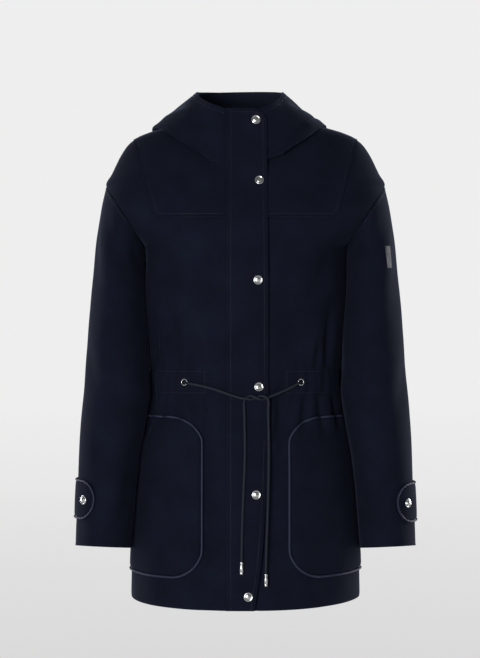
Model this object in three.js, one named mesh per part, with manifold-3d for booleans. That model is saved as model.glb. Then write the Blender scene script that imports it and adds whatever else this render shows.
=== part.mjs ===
// A hooded wool parka, filled out as if worn, with no wearer inside.
// Millimetres, +Z up. The front faces -Y and the wearer's right side is at -X.
// The origin is the middle of the shoulders, between the two shoulder seams.
import * as THREE from 'three';
import { mergeVertices } from 'three/addons/utils/BufferGeometryUtils.js';
import Module from 'manifold-3d';

const wasm = await Module();
wasm.setup();

// ---------------------------------------------------------------- sizes

const CLOTH = 2.2; // double-faced wool, one layer
const SEAM = 0.3; // gap between two sewn edges
const LAY = 0.5; // gap under a piece that lies on another

const HEM_Z = -756; // height of the hem at the side seams
const HEM_DIP = 9; // the hem is this much lower at the centre than at the side seams
const HEM_ROUND = { right: 1, left: 2 }; // how fast it rises from the centre to each side seam

// The neckline is drawn closer up on the left, where the hood's fold hides it.
const NECK = { half: 80, sideZ: 30, frontDrop: { right: 106, left: 80 }, backDrop: 12 };
const NECK_ROOM = 3.0; // the body's neckline stands this far outside the hood's seam

// The armhole is a flat oval, slanting down and in from the shoulder point.
const ARMHOLE = { topX: 229, topZ: -86, lowX: 163.5, lowZ: -186, halfDepth: 80 };

// The yoke's lower seam is level, its outer seam slants up to the shoulder.
const YOKE = { lowZ: -142, lowX: 146, topX: 184, topZ: -8, corner: 8 };

const FRONT_EDGE = { right: 24, left: -12 }; // where each front starts, out from the centre
const PLACKET = { outerX: -31, topZ: 35, topCorner: 24, lay: 0.9 };

const SNAP = { radius: 7.5, height: 3.6 };
const EYELET = { outer: 5.8, hole: 3.7, height: 1.3 };
const EYELETS = { right: { x: -97, z: -405 }, left: { x: 87.6, z: -404.8 } };

const POCKET = { innerX: 68.5, topZ: -461, lowZ: -709, lay: 1.2 };
const POCKET_CORNERS = { topWide: 62, topTall: 42, lowWide: 50, lowTall: 47 };
const PIPING = 4; // diameter of the piping round pockets and tabs

// Tab tip, its snap and the label's sides by their degrees round the sleeve, 90 in front.
const TAB = { halfHeight: 30, tip: 72, snap: 51, sleeveRadius: 56, standOff: 2.1 };
const TABS = { right: { z: -593 }, left: { z: -598 } };
const LABEL = { front: 60.5, back: 46, topZ: -186, lowZ: -222, thick: 0.8 };

const CORD = 4.5; // drawcord diameter
const CORD_END = { radius: 3.1, length: 19.5 };

// ---------------------------------------------------------------- tables

// Body rings: half width, depth of the front and of the back at the centre, and how square the
// ring is, 2 for an ellipse and more for a flatter front and rounder corners.
const BODY = [
  { z: HEM_Z, half: 188, front: 141, back: 128, power: 2.4 },
  { z: -681, half: 186, front: 139, back: 126, power: 2.4 },
  { z: -610, half: 180, front: 136, back: 124, power: 2.4 },
  { z: -556, half: 175.5, front: 133, back: 121, power: 2.4 },
  { z: -507, half: 171, front: 130, back: 115, power: 2.4 },
  { z: -459, half: 161.5, front: 125, back: 104, power: 2.4 },
  { z: -421, half: 158.5, front: 121, back: 96, power: 2.4 },
  { z: -393, half: 158.5, front: 119, back: 94, power: 2.4 },
  { z: -355, half: 161, front: 120, back: 97, power: 2.4 },
  { z: -272, half: 165.5, front: 125, back: 107, power: 2.4 },
  { z: -186, half: 163.5, front: 127, back: 114, power: 2.5 },
  { z: -136, half: 200, front: 120, back: 112, power: 2.8 },
  { z: -86, half: 229, front: 102, back: 101, power: 2.9 },
  { z: -66, half: 220, front: 94, back: 95, power: 2.75 },
  { z: -28, half: 201, front: 76, back: 82, power: 2.55 },
  { z: -8, half: 183, front: 64, back: 72, power: 2.45 },
  { z: 3, half: 159, front: 57, back: 66, power: 2.4 },
  { z: 11, half: 132, front: 51, back: 61, power: 2.4 },
  { z: 20, half: 99, front: 44.5, back: 54.5, power: 2.4 },
  { z: 30, half: 79, front: 36, back: 46, power: 2.4 },
  { z: 42, half: 44, front: 26, back: 36, power: 2.4 },
];

// The standing front of the neck: depth at the centre.
const COLLAR = [
  { z: -120, depth: 116 },
  { z: -86, depth: 102 },
  { z: -60, depth: 95 },
  { z: -25, depth: 89 },
  { z: 10, depth: 85 },
  { z: 40, depth: 82 },
];

// Sleeve rings: outer and inner end in the front view, half depth, how far forward, and how much
// higher the ring is in front. Below the shoulder the arm swings forward, in front of the side seam.
const SLEEVE = [
  { outerX: 229, outerZ: -86, innerX: 163.5, innerZ: -186, depth: 80, ahead: 0, rise: 0 },
  { outerX: 236, outerZ: -118, innerX: 165.2, innerZ: -199, depth: 79, ahead: 3, rise: 0 },
  { outerX: 241, outerZ: -150, innerX: 166.4, innerZ: -216, depth: 76, ahead: 9, rise: 0 },
  { outerX: 245, outerZ: -185, innerX: 165.9, innerZ: -240, depth: 73, ahead: 19, rise: 0.5 },
  { outerX: 249, outerZ: -240, innerX: 163.8, innerZ: -280, depth: 70, ahead: 31, rise: 1 },
  { outerX: 253.5, outerZ: -304, innerX: 159.6, innerZ: -325, depth: 68, ahead: 41, rise: 1.5 },
  { outerX: 258, outerZ: -359, innerX: 157.6, innerZ: -367, depth: 67, ahead: 48, rise: 2.5 },
  { outerX: 261.5, outerZ: -409, innerX: 155.6, innerZ: -412, depth: 66, ahead: 52, rise: 3.5 },
  { outerX: 265, outerZ: -453, innerX: 162, innerZ: -456, depth: 65, ahead: 53.5, rise: 4.5 },
  { outerX: 268, outerZ: -500, innerX: 169.8, innerZ: -502, depth: 64, ahead: 54, rise: 5.5 },
  { outerX: 271, outerZ: -559, innerX: 175.8, innerZ: -560, depth: 62, ahead: 54, rise: 6.5 },
  { outerX: 273.5, outerZ: -616, innerX: 181, innerZ: -618, depth: 61, ahead: 54, rise: 7 },
  { outerX: 275.5, outerZ: -671, innerX: 185.5, innerZ: -675, depth: 60, ahead: 53, rise: 7.5 },
];

// Hood sections by the turn round the neck, 0 in front and 180 behind. From the neck seam the
// cloth runs out as the under layer, turns over at the fold and comes back up to the edge.
const HOOD = [
  { turn: 0, under: [0, -97, -71], fold: [0, -95.7, -66], outer: [0, -89.8, -33], crown: [0, -85.4, 0], edge: [0, -81.8, 33] },
  { turn: 20, under: [28, -94.6, -64], fold: [28, -93.4, -58], outer: [28, -88.2, -28], crown: [28, -84.6, 4], edge: [28, -81.2, 34] },
  { turn: 30, under: [41, -92, -57], fold: [42, -92.4, -51], outer: [43, -87.8, -20], crown: [42, -83.8, 10], edge: [40, -79.5, 38] },
  { turn: 45, under: [62, -88, -44], fold: [65, -91, -40], outer: [66, -84, -12], crown: [64, -77, 18], edge: [58, -70, 45.5] },
  { turn: 68, under: [90, -73, -8], fold: [108, -73, -15], outer: [101, -65, 12], crown: [91, -56, 36], edge: [73, -44, 57] },
  { turn: 79, under: [106, -54, 12], fold: [134, -48, 3], outer: [118, -40, 26], crown: [99, -33, 46], edge: [78, -24, 65.5] },
  { turn: 90, under: [114, -4, 25], fold: [152, -6, 11.5], outer: [131, -3, 30], crown: [105, -1, 49], edge: [80, 0, 71.5] },
  { turn: 112, under: [114, 54, 16], fold: [150, 60, -2], outer: [138, 70, 24], crown: [110, 54, 51], edge: [78, 30, 74.5] },
  { turn: 135, under: [82, 92, -14], fold: [122, 108, -66], outer: [116, 124, -16], crown: [90, 102, 38], edge: [62, 54, 77] },
  { turn: 158, under: [46, 110, -50], fold: [70, 131, -136], outer: [72, 150, -66], crown: [50, 128, 28], edge: [34, 68, 79.5] },
  { turn: 180, under: [0, 115, -70], fold: [0, 137, -172], outer: [0, 158, -86], crown: [0, 136, 26], edge: [0, 73, 80.5] },
];
// Turns at which the hood's columns stand, closer together over the shoulder.
const HOOD_TURNS = [24, 31, 42, 54, 64, 72, 78, 83, 88, 95, 106, 123, 142, 161, 180];
const HOOD_KEYS = ['seam', 'under', 'fold', 'outer', 'crown', 'edge'];
// The hood lies unevenly: its left wing is narrower, its fold and the cloth under it sit higher
// and further back towards the front edge, and its back seam leans to the left.
const LEFT_WING = { seam: 1, under: 0.96, fold: 0.87, outer: 0.845, crown: 0.8, edge: 0.77 };
const LEFT_SHIFT = [
  { turn: 0, underUp: 24, underBack: 5.5, foldUp: 22, foldBack: 4.9 },
  { turn: 20, underUp: 21.5, underBack: 5, foldUp: 16.5, foldBack: 4.4 },
  { turn: 30, underUp: 16, underBack: 2.4, foldUp: 7, foldBack: 2.6 },
  { turn: 45, underUp: 11, underBack: 0, foldUp: 2, foldBack: 0 },
  { turn: 68, underUp: 3, underBack: 0, foldUp: 3, foldBack: 0 },
  { turn: 90, underUp: 2, underBack: 0, foldUp: 2, foldBack: 0 },
  { turn: 135, underUp: 0, underBack: 0, foldUp: 0, foldBack: 0 },
  { turn: 180, underUp: 0, underBack: 0, foldUp: 0, foldBack: 0 },
];
const BACK_SEAM_LEAN = { seam: 0, under: 5, fold: 12, outer: 20, crown: 25, edge: 28 };

// The placket's free edge swings in towards the hem.
const PLACKET_EDGE = [
  { z: -770, x: 12.5 },
  { z: -742, x: 16 },
  { z: -690, x: 24 },
  { z: -640, x: 29 },
  { z: -560, x: 33.5 },
  { z: -412, x: 36.2 },
  { z: -100, x: 34.8 },
  { z: 40, x: 34.2 },
];

const SNAPS = [
  { x: 16.5, z: 16 },
  { x: 21.8, z: -83 },
  { x: 19.4, z: -242 },
  { x: 20.9, z: -412 },
  { x: 16.5, z: -582 },
  { x: 4, z: -734 },
];

// Drawcord routes, out of each eyelet, through the half knot and down to the cord end.
const CORD_RIGHT = [
  [-97, -100.2, -405], [-97.4, -103.6, -405.1], [-96.3, -108, -405.4], [-93.2, -111.5, -406.1],
  [-88.8, -113.8, -406.9], [-80, -115.8, -408.5], [-67, -118.4, -411.2], [-52, -121.6, -415],
  [-36, -125.2, -420.2], [-20, -128.9, -425.8], [-8, -131.8, -429.2], [0, -132.9, -430.2],
  [4.3, -132.2, -430.9], [8.5, -130.2, -431.7], [12.8, -128.3, -430.9], [17, -127.5, -429],
  [21.3, -128.3, -427.1], [25.5, -130.2, -426.3], [29.8, -132.2, -426.9], [33.6, -133.3, -429.3],
  [35.4, -133.7, -432.9], [36, -133.6, -437.8], [35.6, -133.5, -446], [35.8, -133.6, -465],
  [36.4, -134.4, -490], [36.6, -135.8, -515], [36.2, -137.6, -545], [35.4, -139.4, -580],
  [34.4, -141, -615], [33.2, -142.4, -650], [32.2, -143.6, -682], [31.9, -144.6, -706],
];
const CORD_LEFT = [
  [87.4, -104.2, -404.8], [87.8, -107.6, -404.9], [86.6, -111.9, -405.4], [83.4, -115.1, -406.8],
  [79.2, -117, -409.2], [71, -118.9, -413.6], [60, -121.1, -418.6], [50, -123.3, -422.8],
  [42, -125.3, -426], [34, -127.5, -429], [29.8, -128.3, -430.9], [25.5, -130.2, -431.7],
  [21.3, -132.2, -430.9], [17, -132.9, -429], [12.8, -132.2, -427.1], [8.5, -130.2, -426.3],
  [4.3, -128.3, -427.1], [0.5, -127.5, -429.2], [-1.9, -127.9, -433], [-2.6, -128.8, -438],
  [-2.5, -130, -444], [-2.2, -131.4, -454], [-1.8, -133, -470], [-1.3, -135, -490],
  [-1.2, -137.2, -515], [-2, -139, -545], [-3.6, -141, -580], [-4.9, -142.8, -615],
  [-5.9, -144.2, -650], [-6.5, -145.8, -687],
];

// ---------------------------------------------------------------- finishes

const finish = (name, color, roughness, metalness = 0) =>
  new THREE.MeshStandardMaterial({ name, color, roughness, metalness });
const wool = () => finish('navy wool', '#161b2c', 0.95);
const pipingTape = () => finish('navy piping', '#2b3046', 0.6);
const cordYarn = () => finish('navy cord', '#262c40', 0.7);
const nickel = () => finish('nickel', '#b9bcc0', 0.25, 1);
const labelTape = () => finish('label tape', '#232838', 0.8);

// ---------------------------------------------------------------- small helpers

const V = (x, y, z) => new THREE.Vector3(x, y, z);
const clamp = (value, low, high) => Math.min(high, Math.max(low, value));
const steps = (from, to, count) =>
  Array.from({ length: count + 1 }, (_, i) => from + ((to - from) * i) / count);

// Smooth value of a column between the rows of a table, by Catmull-Rom through the rows.
function between(rows, key, column, at) {
  const rising = rows[rows.length - 1][key] > rows[0][key];
  let i = rows.findIndex((row) => (rising ? row[key] > at : row[key] < at)) - 1;
  if (i < 0) i = at === rows[0][key] || rising === at < rows[0][key] ? 0 : rows.length - 2;
  const b = rows[i];
  const c = rows[i + 1];
  const a = rows[i - 1] ?? b;
  const d = rows[i + 2] ?? c;
  const span = c[key] - b[key];
  const t = clamp((at - b[key]) / span, -0.5, 1.5);
  const slopeB = ((c[column] - a[column]) / (c[key] - a[key])) * span;
  const slopeC = ((d[column] - b[column]) / (d[key] - b[key])) * span;
  const t2 = t * t;
  const t3 = t2 * t;
  return (
    (2 * t3 - 3 * t2 + 1) * b[column] +
    (t3 - 2 * t2 + t) * slopeB +
    (3 * t2 - 2 * t3) * c[column] +
    (t3 - t2) * slopeC
  );
}

// ---------------------------------------------------------------- surfaces of the coat

const bodyAt = (z, column) => between(BODY, 'z', column, z);
const signedPower = (value, power) => Math.sign(value) * Math.abs(value) ** power;

// Half width of the full ring at a height, and the share of it that is left inside the armhole.
function ringAt(z, face) {
  const depth = bodyAt(z, face);
  const power = bodyAt(z, 'power');
  if (z <= ARMHOLE.lowZ || z >= ARMHOLE.topZ) return { half: bodyAt(z, 'half'), depth, power, reach: 1 };
  const t = (z - ARMHOLE.lowZ) / (ARMHOLE.topZ - ARMHOLE.lowZ);
  const edgeX = ARMHOLE.lowX + (ARMHOLE.topX - ARMHOLE.lowX) * t;
  const edgeDepth = ARMHOLE.halfDepth * Math.sqrt(Math.max(0, 1 - (2 * t - 1) ** 2));
  const reach = (1 - (edgeDepth / depth) ** power) ** (1 / power);
  return { half: edgeX / reach, depth, power, reach };
}

// Angle round the ring at which it is `x` out from the centre.
const ringAngle = (x, { half, power }) => Math.asin(clamp(signedPower(x / half, power / 2), -1, 1));

function ringPoint(sign, face, z, ring, angle) {
  const x = ring.half * signedPower(Math.sin(angle), 2 / ring.power);
  const y = ring.depth * Math.max(0, Math.cos(angle)) ** (2 / ring.power);
  const round = face === 'front' && sign < 0 ? HEM_ROUND.right : HEM_ROUND.left;
  const low = Math.max(0, Math.cos(angle)) ** round;
  const dip = HEM_DIP * THREE.MathUtils.smoothstep(-z, 600, -HEM_Z) * low;
  return V(sign * x, face === 'front' ? -y : y, z - dip);
}

// A point of the front: `across` runs from 0 at the front edge to 1 at the side or armhole.
function frontPoint(sign, startX, across, z) {
  const ring = ringAt(z, 'front');
  const from = ringAngle(startX, ring);
  const to = ringAngle(ring.half * ring.reach, ring);
  return ringPoint(sign, 'front', z, ring, from + (to - from) * clamp(across, 0, 1));
}

// A point of the back: `across` runs from -1 at the right side to 1 at the left.
function backPoint(across, z) {
  const ring = ringAt(z, 'back');
  const to = ringAngle(ring.half * ring.reach, ring);
  return ringPoint(Math.sign(across) || 1, 'back', z, ring, Math.abs(clamp(across, -1, 1)) * to);
}

// The body's front by its place in the front view.
function frontAt(x, z) {
  const ring = ringAt(z, 'front');
  return ringPoint(Math.sign(x) || 1, 'front', z, ring, ringAngle(Math.abs(x), ring));
}

// What the placket lies on: the fronts, and above the neckline the standing front of the hood.
function placketBase(x, z) {
  if (z < ARMHOLE.topZ) return frontAt(x, z);
  const power = bodyAt(ARMHOLE.topZ, 'power');
  const share = (1 - Math.abs(x / ARMHOLE.topX) ** power) ** (1 / power);
  return V(x, -between(COLLAR, 'z', 'depth', z) * share, z);
}

// A point of a sleeve: `turn` is 0 on the outer side and a quarter turn in front.
function sleevePoint(sign, turn, along) {
  const rows = SLEEVE.map((row, index) => ({ ...row, index }));
  const at = (column) => between(rows, 'index', column, along);
  const middle = V((at('outerX') + at('innerX')) / 2, -at('ahead'), (at('outerZ') + at('innerZ')) / 2);
  const reach = V((at('outerX') - at('innerX')) / 2, 0, (at('outerZ') - at('innerZ')) / 2);
  const point = middle.addScaledVector(reach, Math.cos(turn));
  point.y -= at('depth') * Math.sin(turn);
  point.z += at('rise') * Math.sin(turn);
  point.x *= sign;
  return point;
}

// The row position on a sleeve at which its side at `turn` is at height z.
function sleeveAlong(turn, z) {
  let low = 0;
  let high = SLEEVE.length - 1;
  for (let i = 0; i < 40; i++) {
    const middle = (low + high) / 2;
    if (sleevePoint(1, turn, middle).z > z) low = middle;
    else high = middle;
  }
  return (low + high) / 2;
}

// The neck seam of one side by the turn round the neck.
function neckSeam(sign, turn) {
  const angle = THREE.MathUtils.degToRad(turn);
  const x = NECK.half * Math.sin(angle);
  if (turn < 90) {
    const z = NECK.sideZ - NECK.frontDrop[sign > 0 ? 'left' : 'right'] * Math.cos(angle);
    const ring = ringAt(z, 'front');
    const body = ringPoint(1, 'front', z, ring, ringAngle(x, ring)).y;
    return [x, turn <= 20 ? placketBase(x, z).y + 1 : body, z + 1 + 2 * Math.sin(angle)];
  }
  const z = NECK.sideZ + NECK.backDrop * Math.cos(angle);
  const ring = ringAt(z, 'back');
  return [x, ringPoint(1, 'back', z, ring, ringAngle(x, ring)).y, z + 3];
}

// Hood sections of one side, with a mirrored one beyond each end so the halves meet smoothly.
function hoodRows(sign) {
  const rows = HOOD.map((section) => {
    const row = { turn: section.turn };
    for (const key of HOOD_KEYS) {
      const [x, y, z] = key === 'seam' ? neckSeam(sign, section.turn) : section[key];
      const wing = sign > 0 ? LEFT_WING[key] : 1;
      const towardsBack = THREE.MathUtils.smoothstep(section.turn, 100, 180);
      const shift = (way) =>
        sign > 0 && (key === 'fold' || key === 'under') ? between(LEFT_SHIFT, 'turn', key + way, section.turn) : 0;
      row[`${key}X`] = sign * x * wing + BACK_SEAM_LEAN[key] * towardsBack;
      row[`${key}Y`] = y + shift('Back');
      row[`${key}Z`] = z + shift('Up');
    }
    return row;
  });
  const mirrored = (row, turn, leanFactor) => {
    const copy = { ...row, turn };
    for (const key of HOOD_KEYS) copy[`${key}X`] = 2 * leanFactor * BACK_SEAM_LEAN[key] - row[`${key}X`];
    return copy;
  };
  return [mirrored(rows[1], -rows[1].turn, 0), ...rows, mirrored(rows[rows.length - 2], 202, 1)];
}

// A point of the hood: `turn` round the neck, `along` 0 at the neck seam and 1 at the edge.
function hoodPoint(rows, turn, along) {
  const keys = HOOD_KEYS.map((key, index) => ({
    index,
    x: between(rows, 'turn', `${key}X`, turn),
    y: between(rows, 'turn', `${key}Y`, turn),
    z: between(rows, 'turn', `${key}Z`, turn),
  }));
  const at = clamp(along, 0, 1) * (keys.length - 1);
  return V(between(keys, 'index', 'x', at), between(keys, 'index', 'y', at), between(keys, 'index', 'z', at));
}

// ---------------------------------------------------------------- cloth walls

// The direction square to a surface, by small steps along its two parameters.
function square(point, u, v, du, dv) {
  const alongU = point(u + du, v).sub(point(u - du, v));
  const alongV = point(u, v + dv).sub(point(u, v - dv));
  return alongU.cross(alongV).normalize();
}

// A thin wall on a surface: one sheet `high` above it, one `low`, and rims between them.
// `probe` is [u, v, direction], which tells which side of the surface is outside.
function clothWall({ point, us, vs, high = 0, low = -CLOTH, round = false, trim = {}, probe, du = 1e-3, dv = 0.4 }) {
  const [probeU, probeV, outward] = probe;
  const sign = square(point, probeU, probeV, du, dv).dot(V(...outward)) > 0 ? 1 : -1;
  const columns = round ? us.length - 1 : us.length;
  const grid = vs.map((v) =>
    us.slice(0, columns).map((u) => ({
      at: point(u, v),
      out: square(point, u, v, du, dv).multiplyScalar(sign),
    })),
  );
  const pull = (cell, towards, amount) => {
    if (!amount) return cell;
    const step = towards.at.clone().sub(cell.at);
    return { at: cell.at.clone().addScaledVector(step, amount / step.length()), out: cell.out };
  };
  const last = vs.length - 1;
  grid[0] = grid[0].map((cell, j) => pull(cell, grid[1][j], trim.first));
  grid[last] = grid[last].map((cell, j) => pull(cell, grid[last - 1][j], trim.last));
  if (!round) {
    for (const row of grid) {
      row[0] = pull(row[0], row[1], trim.start);
      row[columns - 1] = pull(row[columns - 1], row[columns - 2], trim.end);
    }
  }
  const positions = [];
  for (const height of [high, low]) {
    for (const row of grid) {
      for (const { at, out } of row) positions.push(...at.clone().addScaledVector(out, height).toArray());
    }
  }
  const index = [];
  const sheet = vs.length * columns;
  const id = (layer, i, j) => layer * sheet + i * columns + (j % columns);
  const quad = (a, b, c, d) => index.push(a, b, c, a, c, d);
  const spans = round ? columns : columns - 1;
  for (let i = 0; i < last; i++) {
    for (let j = 0; j < spans; j++) {
      quad(id(0, i, j), id(0, i, j + 1), id(0, i + 1, j + 1), id(0, i + 1, j));
      quad(id(1, i, j), id(1, i + 1, j), id(1, i + 1, j + 1), id(1, i, j + 1));
    }
  }
  for (let j = 0; j < spans; j++) {
    quad(id(1, 0, j), id(1, 0, j + 1), id(0, 0, j + 1), id(0, 0, j));
    quad(id(0, last, j), id(0, last, j + 1), id(1, last, j + 1), id(1, last, j));
  }
  if (!round) {
    const end = columns - 1;
    for (let i = 0; i < last; i++) {
      quad(id(0, i, 0), id(0, i + 1, 0), id(1, i + 1, 0), id(1, i, 0));
      quad(id(1, i, end), id(1, i + 1, end), id(0, i + 1, end), id(0, i, end));
    }
  }
  return facingOut(positions, index);
}

// A geometry from points and triangles, turned the right way if its volume comes out negative.
function facingOut(positions, index) {
  let volume = 0;
  const corner = (i) => V(positions[3 * i], positions[3 * i + 1], positions[3 * i + 2]);
  for (let i = 0; i < index.length; i += 3) {
    volume += corner(index[i]).dot(corner(index[i + 1]).cross(corner(index[i + 2])));
  }
  if (volume < 0) index.reverse();
  const geometry = new THREE.BufferGeometry();
  geometry.setAttribute('position', new THREE.Float32BufferAttribute(positions, 3));
  geometry.setIndex(index);
  return geometry;
}

// ---------------------------------------------------------------- cutting

function toSolid(geometry) {
  const bare = geometry.clone();
  bare.deleteAttribute('normal');
  bare.deleteAttribute('uv');
  const merged = mergeVertices(bare, 1e-4);
  return new wasm.Manifold(
    new wasm.Mesh({
      numProp: 3,
      vertProperties: new Float32Array(merged.attributes.position.array),
      triVerts: new Uint32Array(merged.index.array),
    }),
  );
}

function fromSolid(solid) {
  const mesh = solid.getMesh();
  return facingOut([...mesh.vertProperties], [...mesh.triVerts]);
}

// A prism with an outline in the front view, from one depth to another.
function frontPrism(outline, fromY, toY) {
  const shape = new THREE.Shape(outline.map(([x, z]) => new THREE.Vector2(x, z)));
  const geometry = new THREE.ExtrudeGeometry(shape, { depth: toY - fromY, bevelEnabled: false });
  return toSolid(geometry.rotateX(Math.PI / 2).translate(0, toY, 0));
}

// Outline of the space above a neckline.
function neckOutline(drop, room) {
  const line = steps(-90, 90, 24).map((degrees) => {
    const angle = THREE.MathUtils.degToRad(degrees);
    return [(NECK.half + room) * Math.sin(angle), NECK.sideZ - (drop + room) * Math.cos(angle)];
  });
  const top = NECK.sideZ + 60;
  return [...line, [NECK.half + room, top], [-NECK.half - room, top]];
}

// Outline of a yoke, grown or shrunk by `grow` at its two seams.
function yokeOutline(sign, grow) {
  const slope = (YOKE.topX - YOKE.lowX) / (YOKE.topZ - YOKE.lowZ);
  const lowZ = YOKE.lowZ - grow;
  const sideX = (z) => YOKE.lowX + grow + slope * (z - YOKE.lowZ);
  const corner = steps(0, 1, 5).map((t) => {
    const start = [sideX(lowZ) - YOKE.corner, lowZ];
    const end = [sideX(lowZ + YOKE.corner), lowZ + YOKE.corner];
    const tip = [sideX(lowZ), lowZ];
    return [0, 1].map((k) => (1 - t) ** 2 * start[k] + 2 * t * (1 - t) * tip[k] + t * t * end[k]);
  });
  const top = YOKE.topZ + 90;
  const outline = [[-40, lowZ], ...corner, [sideX(top), top], [-40, top]];
  return outline.map(([x, z]) => [sign * x, z]);
}

// A peg square to the front, to cut an eyelet's hole.
function eyeletPeg(at) {
  const { point, out } = onFront(at.x, at.z);
  const peg = new THREE.CylinderGeometry(EYELET.hole, EYELET.hole, 14, 16);
  peg.applyQuaternion(new THREE.Quaternion().setFromUnitVectors(V(0, 1, 0), out));
  return toSolid(peg.translate(point.x, point.y, point.z));
}

// ---------------------------------------------------------------- placing

// A point of the front and the direction out of it.
function onFront(x, z) {
  const out = square(frontAt, x, z, 0.5, 0.5);
  return { point: frontAt(x, z), out: out.y > 0 ? out.negate() : out };
}

function onPlacket(x, z) {
  const out = square(placketBase, x, z, 0.5, 0.5);
  return { point: placketBase(x, z), out: out.y > 0 ? out.negate() : out };
}

function onSleeve(sign, turn, along) {
  const surface = (u, v) => sleevePoint(sign, u, v);
  const out = square(surface, turn, along, 1e-3, 1e-2);
  const point = surface(turn, along);
  const middle = sleevePoint(sign, turn + Math.PI, along).add(point).multiplyScalar(0.5);
  return { point, out: out.dot(point.clone().sub(middle)) < 0 ? out.negate() : out };
}

// A turned piece whose axis stands square to the cloth, `lift` above it.
function standOn(geometry, { point, out }, lift) {
  geometry.applyQuaternion(new THREE.Quaternion().setFromUnitVectors(V(0, 1, 0), out));
  const foot = point.clone().addScaledVector(out, lift);
  return geometry.translate(foot.x, foot.y, foot.z);
}

// ---------------------------------------------------------------- shapes of the parts

const parka = new THREE.Group();
function add(name, geometry, material) {
  const mesh = new THREE.Mesh(geometry, material);
  mesh.name = name;
  parka.add(mesh);
}

const SIDES = [
  { name: 'right', sign: -1 },
  { name: 'left', sign: 1 },
];

// Heights of the body's rows. Round the armhole they close up towards its top and bottom.
const armholeHeights = steps(Math.PI, 0, 7).map(
  (angle) =>
    (ARMHOLE.lowZ + ARMHOLE.topZ) / 2 + ((ARMHOLE.topZ - ARMHOLE.lowZ) / 2) * Math.cos(angle),
);
const LOWER_HEIGHTS = [HEM_Z, -690, -625, -565, -510, -460, -425, -395, -355, -300, -240];
const BODY_HEIGHTS = [
  ...LOWER_HEIGHTS,
  ...armholeHeights,
  ...[-64, -40, -20, -6, 6, 18, 27, 36],
];

function frontPanel({ sign, name }) {
  const startX = FRONT_EDGE[name];
  return clothWall({
    point: (u, v) => frontPoint(sign, startX, u, v),
    us: steps(0, 1, 9),
    vs: BODY_HEIGHTS,
    trim: { end: SEAM / 2 },
    probe: [0.4, -300, [0, -1, 0]],
  });
}

function frontAndYoke(side) {
  const neck = frontPrism(neckOutline(NECK.frontDrop[side.name], NECK_ROOM), -300, 300);
  const whole = toSolid(frontPanel(side)).subtract(neck).subtract(eyeletPeg(EYELETS[side.name]));
  const yoke = whole.intersect(frontPrism(yokeOutline(side.sign, -SEAM / 2), -300, 10));
  const front = whole.subtract(frontPrism(yokeOutline(side.sign, SEAM / 2), -300, 10));
  return { front: fromSolid(front), yoke: fromSolid(yoke) };
}

function backPanel() {
  const neck = frontPrism(neckOutline(NECK.backDrop, NECK_ROOM), -300, 300);
  const whole = clothWall({
    point: backPoint,
    us: steps(-1, 1, 14),
    vs: BODY_HEIGHTS,
    trim: { start: SEAM / 2, end: SEAM / 2 },
    probe: [0.2, -300, [0, 1, 0]],
  });
  return fromSolid(toSolid(whole).subtract(neck));
}

function sleeve({ sign }) {
  return clothWall({
    point: (u, v) => sleevePoint(sign, u, v),
    us: steps(0, 2 * Math.PI, 20),
    vs: [0, 1, 2, 3, 4, 5.1, 6.2, 7.3, 8.5, 9.6, 10.8, 12],
    round: true,
    trim: { first: 2.1 },
    probe: [0, 6, [sign, 0, 0]],
    dv: 0.01,
  });
}

function hoodHalf({ sign }) {
  const rows = hoodRows(sign);
  const startTurn = sign > 0 ? -8 : 18;
  return clothWall({
    point: (u, v) => hoodPoint(rows, u, v),
    us: [startTurn, ...HOOD_TURNS],
    vs: [0, 0.1, 0.2, 0.29, 0.34, 0.38, 0.42, 0.47, 0.56, 0.68, 0.83, 1],
    trim: { end: 3 * SEAM },
    probe: [68, 0.75, [sign, -1, 1]],
    du: 0.2,
    dv: 0.004,
  });
}

function placket() {
  const edge = (z) => between(PLACKET_EDGE, 'z', 'x', z);
  // `across` from the sewn edge to the free edge, `up` from the hem to the top.
  const point = (across, up) => {
    const free = clamp(across, 0, 1);
    const cornerShare = PLACKET.topCorner / (edge(PLACKET.topZ) - PLACKET.outerX);
    const past = Math.max(0, free - (1 - cornerShare)) / cornerShare;
    const topZ = PLACKET.topZ - PLACKET.topCorner * (1 - Math.sqrt(1 - past * past));
    const z = HEM_Z + (topZ - HEM_Z) * clamp(up, 0, 1);
    return placketBase(PLACKET.outerX + (edge(z) - PLACKET.outerX) * free, z);
  };
  const upper = [-186, -160, -136, -112, -90, -75, -60, -40, -18, 5, 22, 35];
  return clothWall({
    point,
    us: [0, 0.35, 0.64, 0.8, 0.9, 0.96, 0.998],
    vs: [...LOWER_HEIGHTS, ...upper].map((z) => (z - HEM_Z) / (PLACKET.topZ - HEM_Z)),
    high: PLACKET.lay + CLOTH,
    low: PLACKET.lay,
    probe: [0.4, 0.4, [0, -1, 0]],
    dv: 1e-3,
  });
}

// Upper and lower edge of a pocket, `x` out from the centre; `inset` shrinks the outline.
function pocketSpan(x, inset = 0) {
  const corner = (wide, tall) => {
    const past = clamp((x - POCKET.innerX - inset) / (wide - inset), 0, 1);
    return (tall - inset) * (1 - Math.sqrt(1 - (1 - past) ** 2));
  };
  const { topWide, topTall, lowWide, lowTall } = POCKET_CORNERS;
  return {
    top: POCKET.topZ - inset - corner(topWide, topTall),
    low: POCKET.lowZ + inset + corner(lowWide, lowTall),
  };
}

// A point of the body between a pocket's inner edge, `across` 0, and the side seam, `across` 1.
function pocketPoint(sign, across, z, inset = 0) {
  const ring = ringAt(z, 'front');
  const inner = ringAngle(POCKET.innerX + inset, ring);
  return ringPoint(sign, 'front', z, ring, inner + (Math.PI / 2 - inner) * across);
}

// How far out a share of the pocket's width is, in the front view at mid pocket.
const pocketX = (across, inset = 0) =>
  pocketPoint(1, across, (POCKET.topZ + POCKET.lowZ) / 2, inset).x;

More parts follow.
